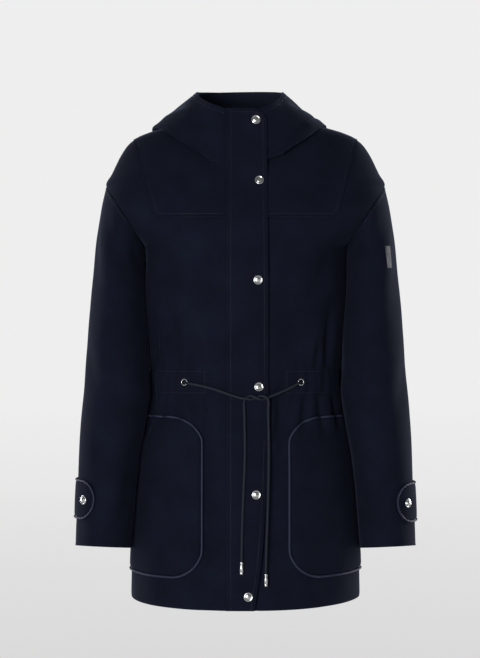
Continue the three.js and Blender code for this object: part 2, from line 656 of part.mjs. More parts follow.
function pocket({ sign }) {
  const inset = PIPING * 0.65 + SEAM;
  const point = (across, up) => {
    const share = clamp(across, 0, 1);
    const { top, low } = pocketSpan(pocketX(share, inset), inset);
    return pocketPoint(sign, share, low + (top - low) * clamp(up, 0, 1), inset);
  };
  return clothWall({
    point,
    us: [0, 0.02, 0.07, 0.15, 0.26, 0.38, 0.52, 0.67, 0.82, 0.96],
    vs: steps(0, 1, 6),
    high: POCKET.lay + CLOTH,
    low: POCKET.lay,
    probe: [0.3, 0.5, [0, -1, 0]],
    dv: 1e-3,
  });
}

// A curve whose steps follow its own parameter, so they fall closer where its points do.
class Route extends THREE.Curve {
  constructor(points) {
    super();
    this.spline = new THREE.CatmullRomCurve3(points, false, 'centripetal');
  }
  getPoint(t, target) {
    return this.spline.getPoint(t, target);
  }
  getPointAt(t, target) {
    return this.getPoint(t, target);
  }
  getTangentAt(t, target) {
    return this.getTangent(t, target);
  }
}

function cordAlong(points, diameter, sides, count) {
  const section = new THREE.Shape(
    steps(0, 2 * Math.PI, sides)
      .slice(0, sides)
      .map((angle) => new THREE.Vector2(Math.cos(angle), Math.sin(angle)).multiplyScalar(diameter / 2)),
  );
  return new THREE.ExtrudeGeometry(section, {
    steps: count,
    extrudePath: new Route(points),
    bevelEnabled: false,
  });
}

function pocketPiping({ sign }) {
  const lift = POCKET.lay + PIPING / 2;
  const raised = (across, z) => {
    const surface = (u, v) => pocketPoint(sign, u, v);
    const out = square(surface, across, z, 1e-3, 0.5);
    if (out.y > 0) out.negate();
    return surface(across, z).addScaledVector(out, lift);
  };
  const shares = [0.96, 0.82, 0.66, 0.52, 0.4, 0.3, 0.22, 0.15, 0.09, 0.045, 0.015, 0.001];
  const points = [
    ...shares.map((share) => raised(share, pocketSpan(pocketX(share)).top)),
    ...steps(-530, -620, 2).map((z) => raised(0, z)),
    ...[...shares].reverse().map((share) => raised(share, pocketSpan(pocketX(share)).low)),
  ];
  return cordAlong(points, PIPING, 5, 46);
}

// Half height of a cuff tab at a distance from its round tip.
const tabHalf = (fromTip, inset) => {
  const half = TAB.halfHeight - inset;
  const past = clamp(1 - fromTip / half, 0, 1);
  return half * Math.sqrt(1 - past * past);
};

// A point of a cuff tab: `fromTip` in mm round the sleeve, `up` from -1 to 1.
function tabPoint({ sign, name }, fromTip, up, inset = 0) {
  const around = THREE.MathUtils.degToRad(TAB.tip) - (fromTip + inset) / TAB.sleeveRadius;
  const z = TABS[name].z + up * tabHalf(fromTip, inset);
  return sleevePoint(sign, around, sleeveAlong(around, z));
}

function cuffTab(side) {
  const inset = PIPING * 0.5 + SEAM;
  return clothWall({
    point: (u, v) => tabPoint(side, Math.max(u, 0.01), v, inset),
    us: [0.05, 1, 4, 9, 17, 30, 50, 74, 98, 122, 145],
    vs: steps(-1, 1, 4),
    high: TAB.standOff + CLOTH,
    low: TAB.standOff,
    probe: [60, 0, [side.sign, 0, 0]],
    du: 0.05,
    dv: 0.02,
  });
}

function cuffTabPiping(side) {
  const raised = (fromTip, up) => {
    const point = tabPoint(side, fromTip, up);
    const around = THREE.MathUtils.degToRad(TAB.tip) - fromTip / TAB.sleeveRadius;
    const { out } = onSleeve(side.sign, around, sleeveAlong(around, point.z));
    return point.addScaledVector(out, TAB.standOff + CLOTH / 2);
  };
  const reaches = [146, 122, 100, 80, 62, 45, 30, 22, 15, 9, 4.5, 1.4, 0.02];
  const points = [
    ...reaches.map((fromTip) => raised(fromTip, 1)),
    ...[...reaches].reverse().slice(1).map((fromTip) => raised(fromTip, -1)),
  ];
  return cordAlong(points, PIPING * 0.8, 5, 42);
}

// Cap of a press snap: a shallow dome with a flat rim.
function snapCap() {
  const { radius, height } = SNAP;
  const profile = [
    [0, 0], [radius, 0], [radius, 0.9], [radius - 0.7, 1.6], [radius * 0.62, height * 0.82],
    [radius * 0.3, height * 0.96], [0, height],
  ];
  return new THREE.LatheGeometry(profile.map(([r, h]) => new THREE.Vector2(r, h)), 16);
}

function eyeletRing() {
  const { outer, hole, height } = EYELET;
  const profile = [
    [hole, 0], [outer, 0], [outer - 0.3, height * 0.7], [(outer + hole) / 2, height],
    [hole + 0.2, height * 0.7], [hole, 0],
  ];
  return new THREE.LatheGeometry(profile.map(([r, h]) => new THREE.Vector2(r, h)), 16);
}

function cordEnd(route) {
  const { radius, length } = CORD_END;
  const profile = [
    [0, 0], [radius - 0.5, 0], [radius, 0.8], [radius, length - 0.8], [radius - 0.5, length],
    [0, length],
  ];
  const geometry = new THREE.LatheGeometry(profile.map(([r, h]) => new THREE.Vector2(r, h)), 12);
  const tip = V(...route[route.length - 1]);
  const down = tip.clone().sub(V(...route[route.length - 2])).normalize();
  return standOn(geometry, { point: tip, out: down }, SEAM);
}

function sleeveLabel(sign) {
  const point = (turn, z) => sleevePoint(sign, turn, sleeveAlong(turn, z));
  return clothWall({
    point,
    us: steps(THREE.MathUtils.degToRad(LABEL.back), THREE.MathUtils.degToRad(LABEL.front), 4),
    vs: steps(LABEL.lowZ, LABEL.topZ, 3),
    high: LAY + LABEL.thick,
    low: LAY,
    probe: [0.6, -200, [sign, 0, 0]],
    dv: 0.5,
  });
}

// ---------------------------------------------------------------- the parka

for (const side of SIDES) {
  const { front, yoke } = frontAndYoke(side);
  add(`front_${side.name}`, front, wool());
  add(`yoke_${side.name}`, yoke, wool());
}
add('back', backPanel(), wool());
for (const side of SIDES) add(`sleeve_${side.name}`, sleeve(side), wool());
for (const side of SIDES) add(`hood_${side.name}`, hoodHalf(side), wool());
add('placket', placket(), wool());

for (const side of SIDES) {
  add(`pocket_${side.name}`, pocket(side), wool());
  add(`pocket_piping_${side.name}`, pocketPiping(side), pipingTape());
  add(`cuff_tab_${side.name}`, cuffTab(side), wool());
  add(`cuff_tab_piping_${side.name}`, cuffTabPiping(side), pipingTape());
  const around = THREE.MathUtils.degToRad(TAB.snap);
  const seat = onSleeve(side.sign, around, sleeveAlong(around, TABS[side.name].z));
  add(`cuff_snap_${side.name}`, standOn(snapCap(), seat, TAB.standOff + CLOTH + LAY), nickel());
  add(`eyelet_${side.name}`, standOn(eyeletRing(), onFront(EYELETS[side.name].x, EYELETS[side.name].z), LAY), nickel());
}

SNAPS.forEach(({ x, z }, index) => {
  add(`snap_${index + 1}`, standOn(snapCap(), onPlacket(x, z), PLACKET.lay + CLOTH + LAY), nickel());
});

const CORDS = { right: CORD_RIGHT, left: CORD_LEFT };
for (const [name, route] of Object.entries(CORDS)) {
  add(`drawcord_${name}`, cordAlong(route.map((p) => V(...p)), CORD, 8, 2 * (route.length - 1)), cordYarn());
  add(`cord_end_${name}`, cordEnd(route), nickel());
}
add('sleeve_label', sleeveLabel(1), labelTape());

export default parka;
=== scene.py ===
# %% [markdown]
# # A hooded wool parka
#
# The coat is filled out as if someone wore it, but nobody is inside. The CAD model gives its sizes
# and the place of every sewn piece. Here each piece becomes real cloth: a thin shell that follows
# the same surface as its solid, with soft seams, creases, stitches and a felted finish.
#
# Lengths in the tables are in millimetres, as a pattern cutter writes them. Blender works in
# metres, so they are multiplied by MM at the last moment.

# %% Load the frame
import math

import bmesh
import bpy
import numpy as np
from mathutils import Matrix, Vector, kdtree


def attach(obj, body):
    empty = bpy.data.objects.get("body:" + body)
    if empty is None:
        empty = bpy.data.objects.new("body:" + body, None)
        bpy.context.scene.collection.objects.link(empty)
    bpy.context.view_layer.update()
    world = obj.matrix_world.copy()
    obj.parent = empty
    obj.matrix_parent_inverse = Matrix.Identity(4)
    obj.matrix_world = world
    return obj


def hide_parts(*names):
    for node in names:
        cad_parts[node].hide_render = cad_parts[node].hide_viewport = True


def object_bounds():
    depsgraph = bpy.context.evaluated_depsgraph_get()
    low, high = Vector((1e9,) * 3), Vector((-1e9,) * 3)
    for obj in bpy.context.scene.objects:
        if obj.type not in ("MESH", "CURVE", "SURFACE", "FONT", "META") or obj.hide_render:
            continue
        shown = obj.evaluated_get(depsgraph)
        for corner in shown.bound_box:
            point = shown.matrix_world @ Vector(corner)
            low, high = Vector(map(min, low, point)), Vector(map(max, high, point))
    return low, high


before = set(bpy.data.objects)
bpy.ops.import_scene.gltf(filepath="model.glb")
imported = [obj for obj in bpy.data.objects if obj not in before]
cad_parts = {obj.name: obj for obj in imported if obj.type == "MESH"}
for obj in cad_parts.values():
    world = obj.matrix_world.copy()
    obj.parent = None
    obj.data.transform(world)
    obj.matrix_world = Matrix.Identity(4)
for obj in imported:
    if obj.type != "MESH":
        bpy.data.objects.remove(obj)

MM = 0.001
cad_low, cad_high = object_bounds()
print("CAD box", [round(v, 3) for v in cad_low], [round(v, 3) for v in cad_high])

# %% [markdown]
# ## Camera
#
# A fashion catalogue shows a coat from straight ahead with a long lens, so that the sleeves and
# the trunk keep their true proportions. The camera stands 3.2 m away at the height of the waist
# and looks level. Its lens is worked out from what the frame has to hold: 1.086 m of height.

# %% Camera
VIEW_DISTANCE = 3.2
VIEW_HEIGHT = 1.0857
VIEW_ACROSS, VIEW_UP = -0.009, -0.320
SENSOR = 36.0


def add_object(name, data):
    thing = bpy.data.objects.new(name, data)
    bpy.context.scene.collection.objects.link(thing)
    return thing


camera_data = bpy.data.cameras.new("camera")
camera_data.sensor_width = SENSOR
camera_data.lens = SENSOR * VIEW_DISTANCE / VIEW_HEIGHT
camera = add_object("camera", camera_data)
camera.location = (VIEW_ACROSS, -VIEW_DISTANCE, VIEW_UP)
camera.rotation_euler = (math.radians(90), 0, 0)
bpy.context.scene.camera = camera
bpy.context.scene.view_settings.view_transform = "Standard"
print("lens", round(camera_data.lens, 1), "mm")

# %% [markdown]
# ## Materials: a few small helpers
#
# Every material below is a node tree. `add_node` adds a node, sets its values and links its
# inputs, so that a tree reads as a list of lines. Colours are written as the sRGB hex values of a
# colour picker, and `linear` turns them into the values that the shader needs. `noise` and `ramp`
# give back a node with the name of its output, ready to be linked.

# %% Node and colour helpers
def linear(hex_colour):
    channels = [int(hex_colour[i : i + 2], 16) / 255 for i in (1, 3, 5)]
    return [c / 12.92 if c <= 0.04045 else ((c + 0.055) / 1.055) ** 2.4 for c in channels] + [1.0]


def add_node(material, kind, settings=None, **inputs):
    """Adds a node. An input is a value, or (node, output name) for a link."""
    tree = material.node_tree
    node = tree.nodes.new(kind)
    for key, value in (settings or {}).items():
        setattr(node, key, value)
    for key, value in inputs.items():
        socket = node.inputs[int(key[1:])] if key[0] == "_" else node.inputs[key.replace("_", " ")]
        if isinstance(value, tuple) and hasattr(value[0], "outputs"):
            tree.links.new(value[0].outputs[value[1]], socket)
        else:
            socket.default_value = value
    return node


def new_material(name):
    """An empty material, and the node that gives its textures their coordinates."""
    material = bpy.data.materials.new(name)
    material.use_nodes = True
    material.node_tree.nodes.clear()
    return material, add_node(material, "ShaderNodeTexCoord")


def noise(material, place, scale, detail=2.0, **more):
    return add_node(material, "ShaderNodeTexNoise", Vector=(place, "Object"), Scale=scale,
                    Detail=detail, **more), "Fac"


def ramp(material, source, *stops):
    """Colours by a value. Each stop is a place from 0 to 1 and a hex colour."""
    node = add_node(material, "ShaderNodeValToRGB", Fac=source)
    elements = node.color_ramp.elements
    elements[0].position, elements[1].position = stops[0][0], stops[-1][0]
    for position, _ in stops[1:-1]:
        elements.new(position)
    for element, (_, colour) in zip(elements, stops):
        element.color = linear(colour)
    return node, "Color"


def finish(material, colour, roughness, relief, **more):
    """Adds the shader. `relief` is a height, how strongly it shows and its depth in metres."""
    if relief:
        height, strength, depth = relief
        bump = add_node(material, "ShaderNodeBump", Height=height, Strength=strength,
                        Distance=depth)
        more["Normal"] = (bump, "Normal")
    shader = add_node(material, "ShaderNodeBsdfPrincipled", Base_Color=colour,
                      Roughness=roughness, **more)
    add_node(material, "ShaderNodeOutputMaterial", Surface=(shader, "BSDF"))
    return material


# %% [markdown]
# ## Wool
#
# The cloth is double-faced melton: wool woven, then felted until the weave disappears under a
# short nap. The eye reads three things. The body is almost black navy. The nap catches light only
# at grazing angles, so every edge of the coat has a soft pale rim, which is what sheen does. And
# the felt is never even: faint clouds a few centimetres wide, and flecks where fibres clump.
#
# Real fibres are 0.02 mm thick and would vanish, so the flecks are drawn about 1.5 mm long.

# %% Wool
NAP = 0.14  # weight of the sheen
NAP_TINT = "#8A9DC4"


def scaled_sum(material, value, factor, added):
    return add_node(material, "ShaderNodeMath", {"operation": "MULTIPLY_ADD"},
                    _0=value, _1=factor, _2=added), "Value"


def felted_wool(name, dark, light):
    wool, place = new_material(name)
    clouds = noise(wool, place, 22.0, 3.0)
    flecks = noise(wool, place, 650.0, Roughness=0.7)
    lumps = noise(wool, place, 120.0, 3.0)
    shade = scaled_sum(wool, clouds, 0.3, scaled_sum(wool, flecks, 0.55, 0.0))
    relief = scaled_sum(wool, lumps, 0.5, flecks)
    return finish(wool, ramp(wool, shade, (0.3, dark), (0.56, light)), 1.0, (relief, 0.35, 0.0006),
                  Specular_IOR_Level=0.06, Sheen_Weight=NAP, Sheen_Roughness=0.3,
                  Sheen_Tint=linear(NAP_TINT))


navy_wool = felted_wool("double-faced melton wool", "#0A0D17", "#111522")
# A lighter copy of the same wool, used inside the hood near its edge: painted light, because the
# lamps barely reach into the hood. The real cloth is alike on both faces.
painted_light_wool = felted_wool("melton wool, painted light inside hood", "#1F2332", "#2A2F41")

# %% [markdown]
# ## Piping tape, cord, nickel and label
#
# The piping is a strip of fine twill folded round a filler cord: smoother than wool, so it shows
# as a thin paler line. The drawcord is a round braid, whose crossing strands are drawn from the
# cord's own UV map: U runs round it and V along it, in metres. The fittings are nickel-plated
# brass, polished but softly, and the label on the sleeve is a bare woven tape.

# %% Trim materials
def woven_tape(name, dark, light, along, across, roughness, by="UV"):
    """Fine ribs, counted in a metre along and across the tape, by its own map or by its place."""
    tape, place = new_material(name)
    size = add_node(tape, "ShaderNodeMapping", Vector=(place, by), Scale=(across, along, 1))
    ribs = add_node(tape, "ShaderNodeTexWave", {"bands_direction": "DIAGONAL"},
                    Vector=(size, "Vector"), Scale=1.0, Distortion=0.6, Detail=1.0), "Fac"
    return finish(tape, ramp(tape, ribs, (0.2, dark), (0.9, light)), roughness,
                  (ribs, 0.4, 0.0003), Specular_IOR_Level=0.2)


def plated_metal(name, colour, roughness):
    metal, place = new_material(name)
    smears = noise(metal, place, 420.0, 4.0)
    polish = add_node(metal, "ShaderNodeMapRange", Value=smears, To_Min=roughness * 0.75,
                      To_Max=roughness * 1.35)
    return finish(metal, linear(colour), (polish, "Result"), (smears, 0.06, 0.0002), Metallic=1.0)


def spun_thread(name, dark, light, roughness):
    thread, place = new_material(name)
    ply = noise(thread, place, 900.0)
    return finish(thread, ramp(thread, ply, (0.3, dark), (0.7, light)), roughness, None)


piping_tape = woven_tape("navy twill piping", "#141829", "#20263B", 420, 90, 0.6)
braided_cord = woven_tape("navy braided cord", "#0B1018", "#181F2B", 330, 140, 0.7)
label_tape = woven_tape("blank woven label", "#20232B", "#2F323B", 900, 900, 0.6, "Object")
nickel = plated_metal("nickel-plated brass", "#B0B2B2", 0.16)
# The thread is paler than the wool: partly its own colour, partly a painted highlight for the light
# that the raised seams catch.
thread_and_seam_highlight = spun_thread("navy thread, paler as painted seam highlight", "#101421", "#1C2234", 0.5)
print(len(bpy.data.materials), "materials")

# %% [markdown]
# ## Floor and light
#
# The coat hangs in a pale studio. A wide floor lies a little below the hem. It takes no light but
# glows by itself. Its glow is painted darker near the coat as painted shade, and fades with
# distance into the colour of the air around it, so no horizon line cuts across the picture. An even
# dome of white light fills every side, as in a light tent. One large soft lamp on the left in front
# gives the chest and the folds a little shape, and two strips behind pick out the nap along the
# sleeves.

# %% Floor and light
PALE = "#EEEEEE"
AIR_LIGHT = 0.3  # the air lights the coat less than it shows, so that the lamps shape the folds
FLOOR_DROP, FLOOR_RADIUS, FLOOR_SIDES = 0.26, 30, 96
FADE = 16.0  # the floor's tones are laid out over this many metres
# The floor's own glow, darker near the coat: painted shade, not a shadow of the lamps.
FLOOR_GLOW_TONES = [  # metres from the coat, colour
    (0.6, "#D8D8D8"), (1.8, "#DDDDDD"), (3.8, "#E3E3E3"), (5.6, "#E8E8E8"), (8.6, "#EBEBEB"),
    (15, "#EEEEEE"),
]

world = bpy.data.worlds.new("studio air")
bpy.context.scene.world = world
world.use_nodes = True
seen_air, way_out = (world.node_tree.nodes[name] for name in ("Background", "World Output"))
seen_air.inputs["Color"].default_value = linear(PALE)
lit_air = add_node(world, "ShaderNodeBackground", Color=linear(PALE), Strength=AIR_LIGHT)
ray = add_node(world, "ShaderNodeLightPath")
air = add_node(world, "ShaderNodeMixShader", _0=(ray, "Is Camera Ray"),
               _1=(lit_air, "Background"), _2=(seen_air, "Background"))
world.node_tree.links.new(air.outputs["Shader"], way_out.inputs["Surface"])

glowing_floor, floor_place = new_material("floor glow, painted shade near the coat")
reach = add_node(glowing_floor, "ShaderNodeVectorMath", {"operation": "LENGTH"},
                 _0=(floor_place, "Object"))
share = add_node(glowing_floor, "ShaderNodeMath", {"operation": "DIVIDE"}, _0=(reach, "Value"),
                 _1=FADE)
tone = ramp(glowing_floor, (share, "Value"), *[(far / FADE, grey) for far, grey in FLOOR_GLOW_TONES])
# The floor takes no light: it glows with these painted tones.
glow = add_node(glowing_floor, "ShaderNodeEmission", Color=tone)
add_node(glowing_floor, "ShaderNodeOutputMaterial", Surface=(glow, "Emission"))

floor_mesh = bpy.data.meshes.new("floor")
floor_mesh.from_pydata(
    [(FLOOR_RADIUS * math.cos(a), FLOOR_RADIUS * math.sin(a), 0)
     for a in np.linspace(0, 2 * math.pi, FLOOR_SIDES, False)],
    [], [tuple(range(FLOOR_SIDES))])
floor_mesh.materials.append(glowing_floor)
floor = add_object("floor", floor_mesh)
floor.location.z = cad_low[2] - FLOOR_DROP


def lamp(name, place, aim, size, power):
    data = bpy.data.lights.new(name, "AREA")
    data.shape = "RECTANGLE"
    data.size, data.size_y = size
    data.energy = power
    lit = add_object(name, data)
    lit.location = place
    lit.rotation_euler = (Vector(aim) - Vector(place)).to_track_quat("-Z", "Y").to_euler()
    lit.visible_camera = False


lamp("front left softbox", (-1.1, -3.0, -0.4), (0, 0, -0.4), (1.2, 1.6), 90)
lamp("back right strip", (2.4, 1.2, -0.1), (0, 0, -0.35), (0.6, 2.4), 108)
lamp("back left strip", (-2.4, 1.2, -0.1), (0, 0, -0.35), (0.6, 2.4), 72)
print("floor at", round(floor.location.z, 3), "m")

# %% [markdown]
# ## Curves through tables
#
# A pattern cutter draws a coat from a few measured rows: how wide and deep it is at the hem, the
# waist, the chest. A smooth curve through those rows gives every height between them. `through`
# does this for every table in this file. Its first column is where each row stands. The other
# functions here are the few soft shapes that everything is made of: a step, a band and a bell.

# %% Smooth values between the rows of a table
def cubic(t, start, end, leaving, arriving):
    """A cubic curve from one value to the next, with given slopes where it leaves and arrives."""
    t2, t3 = t * t, t ** 3
    return ((2 * t3 - 3 * t2 + 1) * start + (t3 - 2 * t2 + t) * leaving
            + (3 * t2 - 2 * t3) * end + (t3 - t2) * arriving)


def through(table, at):
    """The other columns of a table at places along its first column, by a Catmull-Rom curve."""
    table = np.asarray(table, float)
    if table[0, 0] > table[-1, 0]:
        table = table[::-1]
    at = np.asarray(at, float)
    i = np.clip(np.searchsorted(table[:, 0], at, side="right") - 1, 0, len(table) - 2)
    b, c = table[i], table[i + 1]
    a, d = table[np.maximum(i - 1, 0)], table[np.minimum(i + 2, len(table) - 1)]
    span = c[..., :1] - b[..., :1]
    t = np.clip((at[..., None] - b[..., :1]) / span, -0.5, 1.5)
    slope_b = (c - a) / (c[..., :1] - a[..., :1]) * span
    slope_c = (d - b) / (d[..., :1] - b[..., :1]) * span
    return np.moveaxis(cubic(t, b, c, slope_b, slope_c)[..., 1:], -1, 0)


def smoothstep(x, low, high):
    t = np.clip((np.asarray(x, float) - low) / (high - low), 0, 1)
    return t * t * (3 - 2 * t)


def band(x, start, full, still_full, end):
    return smoothstep(x, start, full) * (1 - smoothstep(x, still_full, end))


def bell(x, wide):
    return np.exp(-((x / wide) ** 2))


def groove(away, wide=1.5):
    """How deep a row of stitches pulls the cloth in, by the distance from the row."""
    return 0.45 * bell(away, wide)


def unit(vectors):
    return vectors / np.maximum(np.linalg.norm(vectors, axis=-1, keepdims=True), 1e-12)


def lengths_along(gaps):
    return np.concatenate([[0], np.cumsum(gaps)])


def gaps_between(points):
    return np.linalg.norm(np.diff(points, axis=0), axis=1)


# %% [markdown]
# ## The drawcord
#
# A braided cord 4.5 mm thick runs round the waist inside the coat. Its two ends come out of
# eyelets, cross the placket in a loose half knot and hang to the metal ends, about 310 mm lower.
# The route is a list of points with one smooth curve through them. The cord is a mesh tube and
# not a bevelled curve, because the tube can carry a UV map for its braid.

# %% Cord routes
CORD = 4.5
CORD_RIGHT = [
    (-97, -100.2, -405), (-97.4, -103.6, -405.1), (-96.3, -108, -405.4), (-93.2, -111.5, -406.1),
    (-88.8, -113.8, -406.9), (-80, -115.8, -408.5), (-67, -118.4, -411.2), (-52, -121.6, -415),
    (-36, -125.2, -420.2), (-20, -128.9, -425.8), (-8, -131.8, -429.2), (0, -132.9, -430.2),
    (4.3, -132.2, -430.9), (8.5, -130.2, -431.7), (12.8, -128.3, -430.9), (17, -127.5, -429),
    (21.3, -128.3, -427.1), (25.5, -130.2, -426.3), (29.8, -132.2, -426.9), (33.6, -133.3, -429.3),
    (35.4, -133.7, -432.9), (36, -133.6, -437.8), (35.6, -133.5, -446), (35.8, -133.6, -465),
    (36.4, -134.4, -490), (36.6, -135.8, -515), (36.2, -137.6, -545), (35.4, -139.4, -580),
    (34.4, -141, -615), (33.2, -142.4, -650), (32.2, -143.6, -682), (31.9, -144.6, -706),
]
CORD_LEFT = [
    (87.4, -104.2, -404.8), (87.8, -107.6, -404.9), (86.6, -111.9, -405.4), (83.4, -115.1, -406.8),
    (79.2, -117, -409.2), (71, -118.9, -413.6), (60, -121.1, -418.6), (50, -123.3, -422.8),
    (42, -125.3, -426), (34, -127.5, -429), (29.8, -128.3, -430.9), (25.5, -130.2, -431.7),
    (21.3, -132.2, -430.9), (17, -132.9, -429), (12.8, -132.2, -427.1), (8.5, -130.2, -426.3),
    (4.3, -128.3, -427.1), (0.5, -127.5, -429.2), (-1.9, -127.9, -433), (-2.6, -128.8, -438),
    (-2.5, -130, -444), (-2.2, -131.4, -454), (-1.8, -133, -470), (-1.3, -135, -490),
    (-1.2, -137.2, -515), (-2, -139, -545), (-3.6, -141, -580), (-4.9, -142.8, -615),
    (-5.9, -144.2, -650), (-6.5, -145.8, -687),
]


def route(points, step):
    """Even steps along a smooth curve through points, each knot placed by the root of its gap."""
    points = np.asarray(points, float)
    knots = lengths_along(np.sqrt(gaps_between(points)))
    fine = np.array(through(np.column_stack([knots, points]), np.linspace(0, knots[-1], 2400))).T
    reach = lengths_along(gaps_between(fine))
    places = np.linspace(0, reach[-1], max(4, int(reach[-1] / step)))
    return np.column_stack([np.interp(places, reach, fine[:, k]) for k in range(3)]), reach[-1]


# %% [markdown]
# ## Meshes, tubes and their UV maps
#
# `new_piece` turns points in millimetres into an object in metres. `tube` sweeps a circle along a
# route. The circle must not twist on the way, so its first direction is carried along from one
# step to the next, each time made square to the route again.

# %% Meshes and tubes
def new_piece(name, points, faces, material, uv=None, sharp_from=None):
    mesh = bpy.data.meshes.new(name)
    mesh.from_pydata((np.asarray(points) * MM).tolist(), [], [list(map(int, f)) for f in faces])
    mesh.materials.append(material)
    mesh.polygons.foreach_set("use_smooth", [True] * len(mesh.polygons))
    if uv is not None:
        layer = mesh.uv_layers.new(name="UVMap")
        order = np.empty(len(mesh.loops), dtype=np.int32)
        mesh.loops.foreach_get("vertex_index", order)
        layer.data.foreach_set("uv", (np.asarray(uv)[order] * MM).ravel())
    if sharp_from:
        mesh.set_sharp_from_angle(angle=math.radians(sharp_from))
    mesh.update()
    return add_object(name, mesh)


def grid_faces(rows, columns, closed):
    """Four-sided faces over a grid of points. `closed` joins its last column to its first."""
    return [[i * columns + j, i * columns + (j + 1) % columns,
             (i + 1) * columns + (j + 1) % columns, (i + 1) * columns + j]
            for i in range(rows - 1) for j in range(columns if closed else columns - 1)]


def weld(piece, distance):
    """Joins points of a mesh that lie on each other, and turns its faces outwards if closed."""
    work = bmesh.new()
    work.from_mesh(piece.data)
    bmesh.ops.remove_doubles(work, verts=work.verts, dist=distance * MM)
    bmesh.ops.dissolve_degenerate(work, dist=1e-7, edges=work.edges)
    if work.calc_volume(signed=True) < 0:
        bmesh.ops.reverse_faces(work, faces=work.faces)
    work.to_mesh(piece.data)
    work.free()


def frames_along(path):
    """Two directions square to a path at each of its points, without twist."""
    ahead = unit(np.gradient(path, axis=0))
    side = np.zeros_like(path)
    side[0] = unit(np.cross(ahead[0], [0.3, 1, 0.2]))
    for i in range(1, len(path)):
        side[i] = unit(side[i - 1] - np.dot(side[i - 1], ahead[i]) * ahead[i])
    return side, np.cross(ahead, side)


def tube(name, path, radius, sides, material, relief=None):
    """A closed tube. `relief` changes its radius by the angle round it and the place along it."""
    side, up = frames_along(path)
    turn, place = np.meshgrid(np.linspace(0, 2 * math.pi, sides + 1),
                              lengths_along(gaps_between(path)))
    r = radius + (relief(turn, place) if relief else 0 * turn)
    spokes = np.cos(turn)[..., None] * side[:, None] + np.sin(turn)[..., None] * up[:, None]
    points = (path[:, None] + r[..., None] * spokes).reshape(-1, 3)
    uv = np.stack([turn * radius, place], -1).reshape(-1, 2)
    rows, columns = turn.shape
    faces = grid_faces(rows, columns, False)
    for end, row in ((0, 0), (-1, rows - 1)):
        centre = len(points)
        points = np.vstack([points, path[end]])
        uv = np.vstack([uv, uv[row * columns]])
        fan = [(row * columns + j + 1, row * columns + j, centre) for j in range(sides)]
        faces += fan if end == 0 else [f[::-1] for f in fan]
    piece = new_piece(name, points, faces, material, uv)
    weld(piece, 0.001)
    return piece


# %% Drawcords
def braid(turn, place):
    """Sixteen strands cross in two directions, each about 2 mm long where it shows."""
    return 0.09 * np.sin(4 * turn + place * 1.15) * np.sin(4 * turn - place * 1.15)


cords = {}
for side, points in (("right", CORD_RIGHT), ("left", CORD_LEFT)):
    path, length = route(points, 0.9)
    piece = tube(f"cord_{side}", path, CORD / 2 - 0.05, 24, braided_cord, braid)
    cords[side] = (piece, path, length)
    print(f"cord {side}: {length:.0f} mm long")

# %% [markdown]
# ## The surface of the trunk
#
# Seen from above, a coat on a figure is neither an ellipse nor a box. A superellipse lies between
# the two: its power says how square it is. Each height has one such ring, with a half width, a
# depth in front, a depth behind and a power. Between the two ends of the armhole the ring is cut
# short where the sleeve begins.

# %% Sizes and rings of the body
CLOTH = 2.2
SEAM = 0.3
HEM_Z = -756
HEM_DIP = 9  # the hem is this much lower at the centre than at the side seams
HEM_ROUND = {"right": 1, "left": 2}  # how fast it rises from the centre to each side seam
NECK_HALF, NECK_SIDE_Z, NECK_BACK, NECK_ROOM = 80, 30, 12, 1.2
NECK_FRONT = {"right": 106, "left": 80}  # the left neckline is higher, hidden by the hood's fold
ARM_TOP_X, ARM_TOP_Z, ARM_LOW_X, ARM_LOW_Z, ARM_DEPTH = 229, -86, 163.5, -186, 80
YOKE_LOW_Z, YOKE_LOW_X, YOKE_TOP_X, YOKE_TOP_Z, YOKE_CORNER = -142, 146, 184, -8, 8
YOKE_SLOPE = (YOKE_TOP_X - YOKE_LOW_X) / (YOKE_TOP_Z - YOKE_LOW_Z)
UNDER_HOOD = {"right": 6, "left": 0}  # how far the cloth of a front runs on under the hood's edge
FRONT_START = {"right": 24, "left": -12}
SIDES = {"right": -1, "left": 1}

BODY = [  # height, half width, depth in front, depth behind, power
    (HEM_Z, 188, 141, 128, 2.4), (-681, 186, 139, 126, 2.4), (-610, 180, 136, 124, 2.4),
    (-556, 175.5, 133, 121, 2.4), (-507, 171, 130, 115, 2.4), (-459, 161.5, 125, 104, 2.4),
    (-421, 158.5, 121, 96, 2.4), (-393, 158.5, 119, 94, 2.4), (-355, 161, 120, 97, 2.4),
    (-272, 165.5, 125, 107, 2.4), (-186, 163.5, 127, 114, 2.5), (-136, 200, 120, 112, 2.8),
    (-86, 229, 102, 101, 2.9), (-66, 220, 94, 95, 2.75), (-28, 201, 76, 82, 2.55),
    (-8, 183, 64, 72, 2.45), (3, 159, 57, 66, 2.4), (11, 132, 51, 61, 2.4),
    (20, 99, 44.5, 54.5, 2.4), (30, 79, 36, 46, 2.4), (42, 44, 26, 36, 2.4),
]
COLLAR = [(-120, 116), (-86, 102), (-60, 95), (-25, 89), (10, 85), (40, 82)]  # height, depth
COLLAR_POWER = 2.9


def ring_at(z, front):
    """The ring at a height: half width, depth, power, and the share of it left by the armhole."""
    half, ahead, behind, power = through(BODY, z)
    depth = ahead if front else behind
    t = (np.asarray(z, float) - ARM_LOW_Z) / (ARM_TOP_Z - ARM_LOW_Z)
    cut = (t > 0) & (t < 1)
    edge_x = ARM_LOW_X + (ARM_TOP_X - ARM_LOW_X) * t
    edge_depth = ARM_DEPTH * np.sqrt(np.clip(1 - (2 * t - 1) ** 2, 0, 1))
    left = np.clip(1 - (edge_depth / depth) ** power, 1e-6, 1) ** (1 / power)
    reach = np.where(cut, left, 1.0)
    return np.where(cut, edge_x / reach, half), depth, power, reach


def ring_angle(x, ring):
    half, _, power, _ = ring
    share = x / half
    return np.arcsin(np.clip(np.sign(share) * np.abs(share) ** (power / 2), -1, 1))


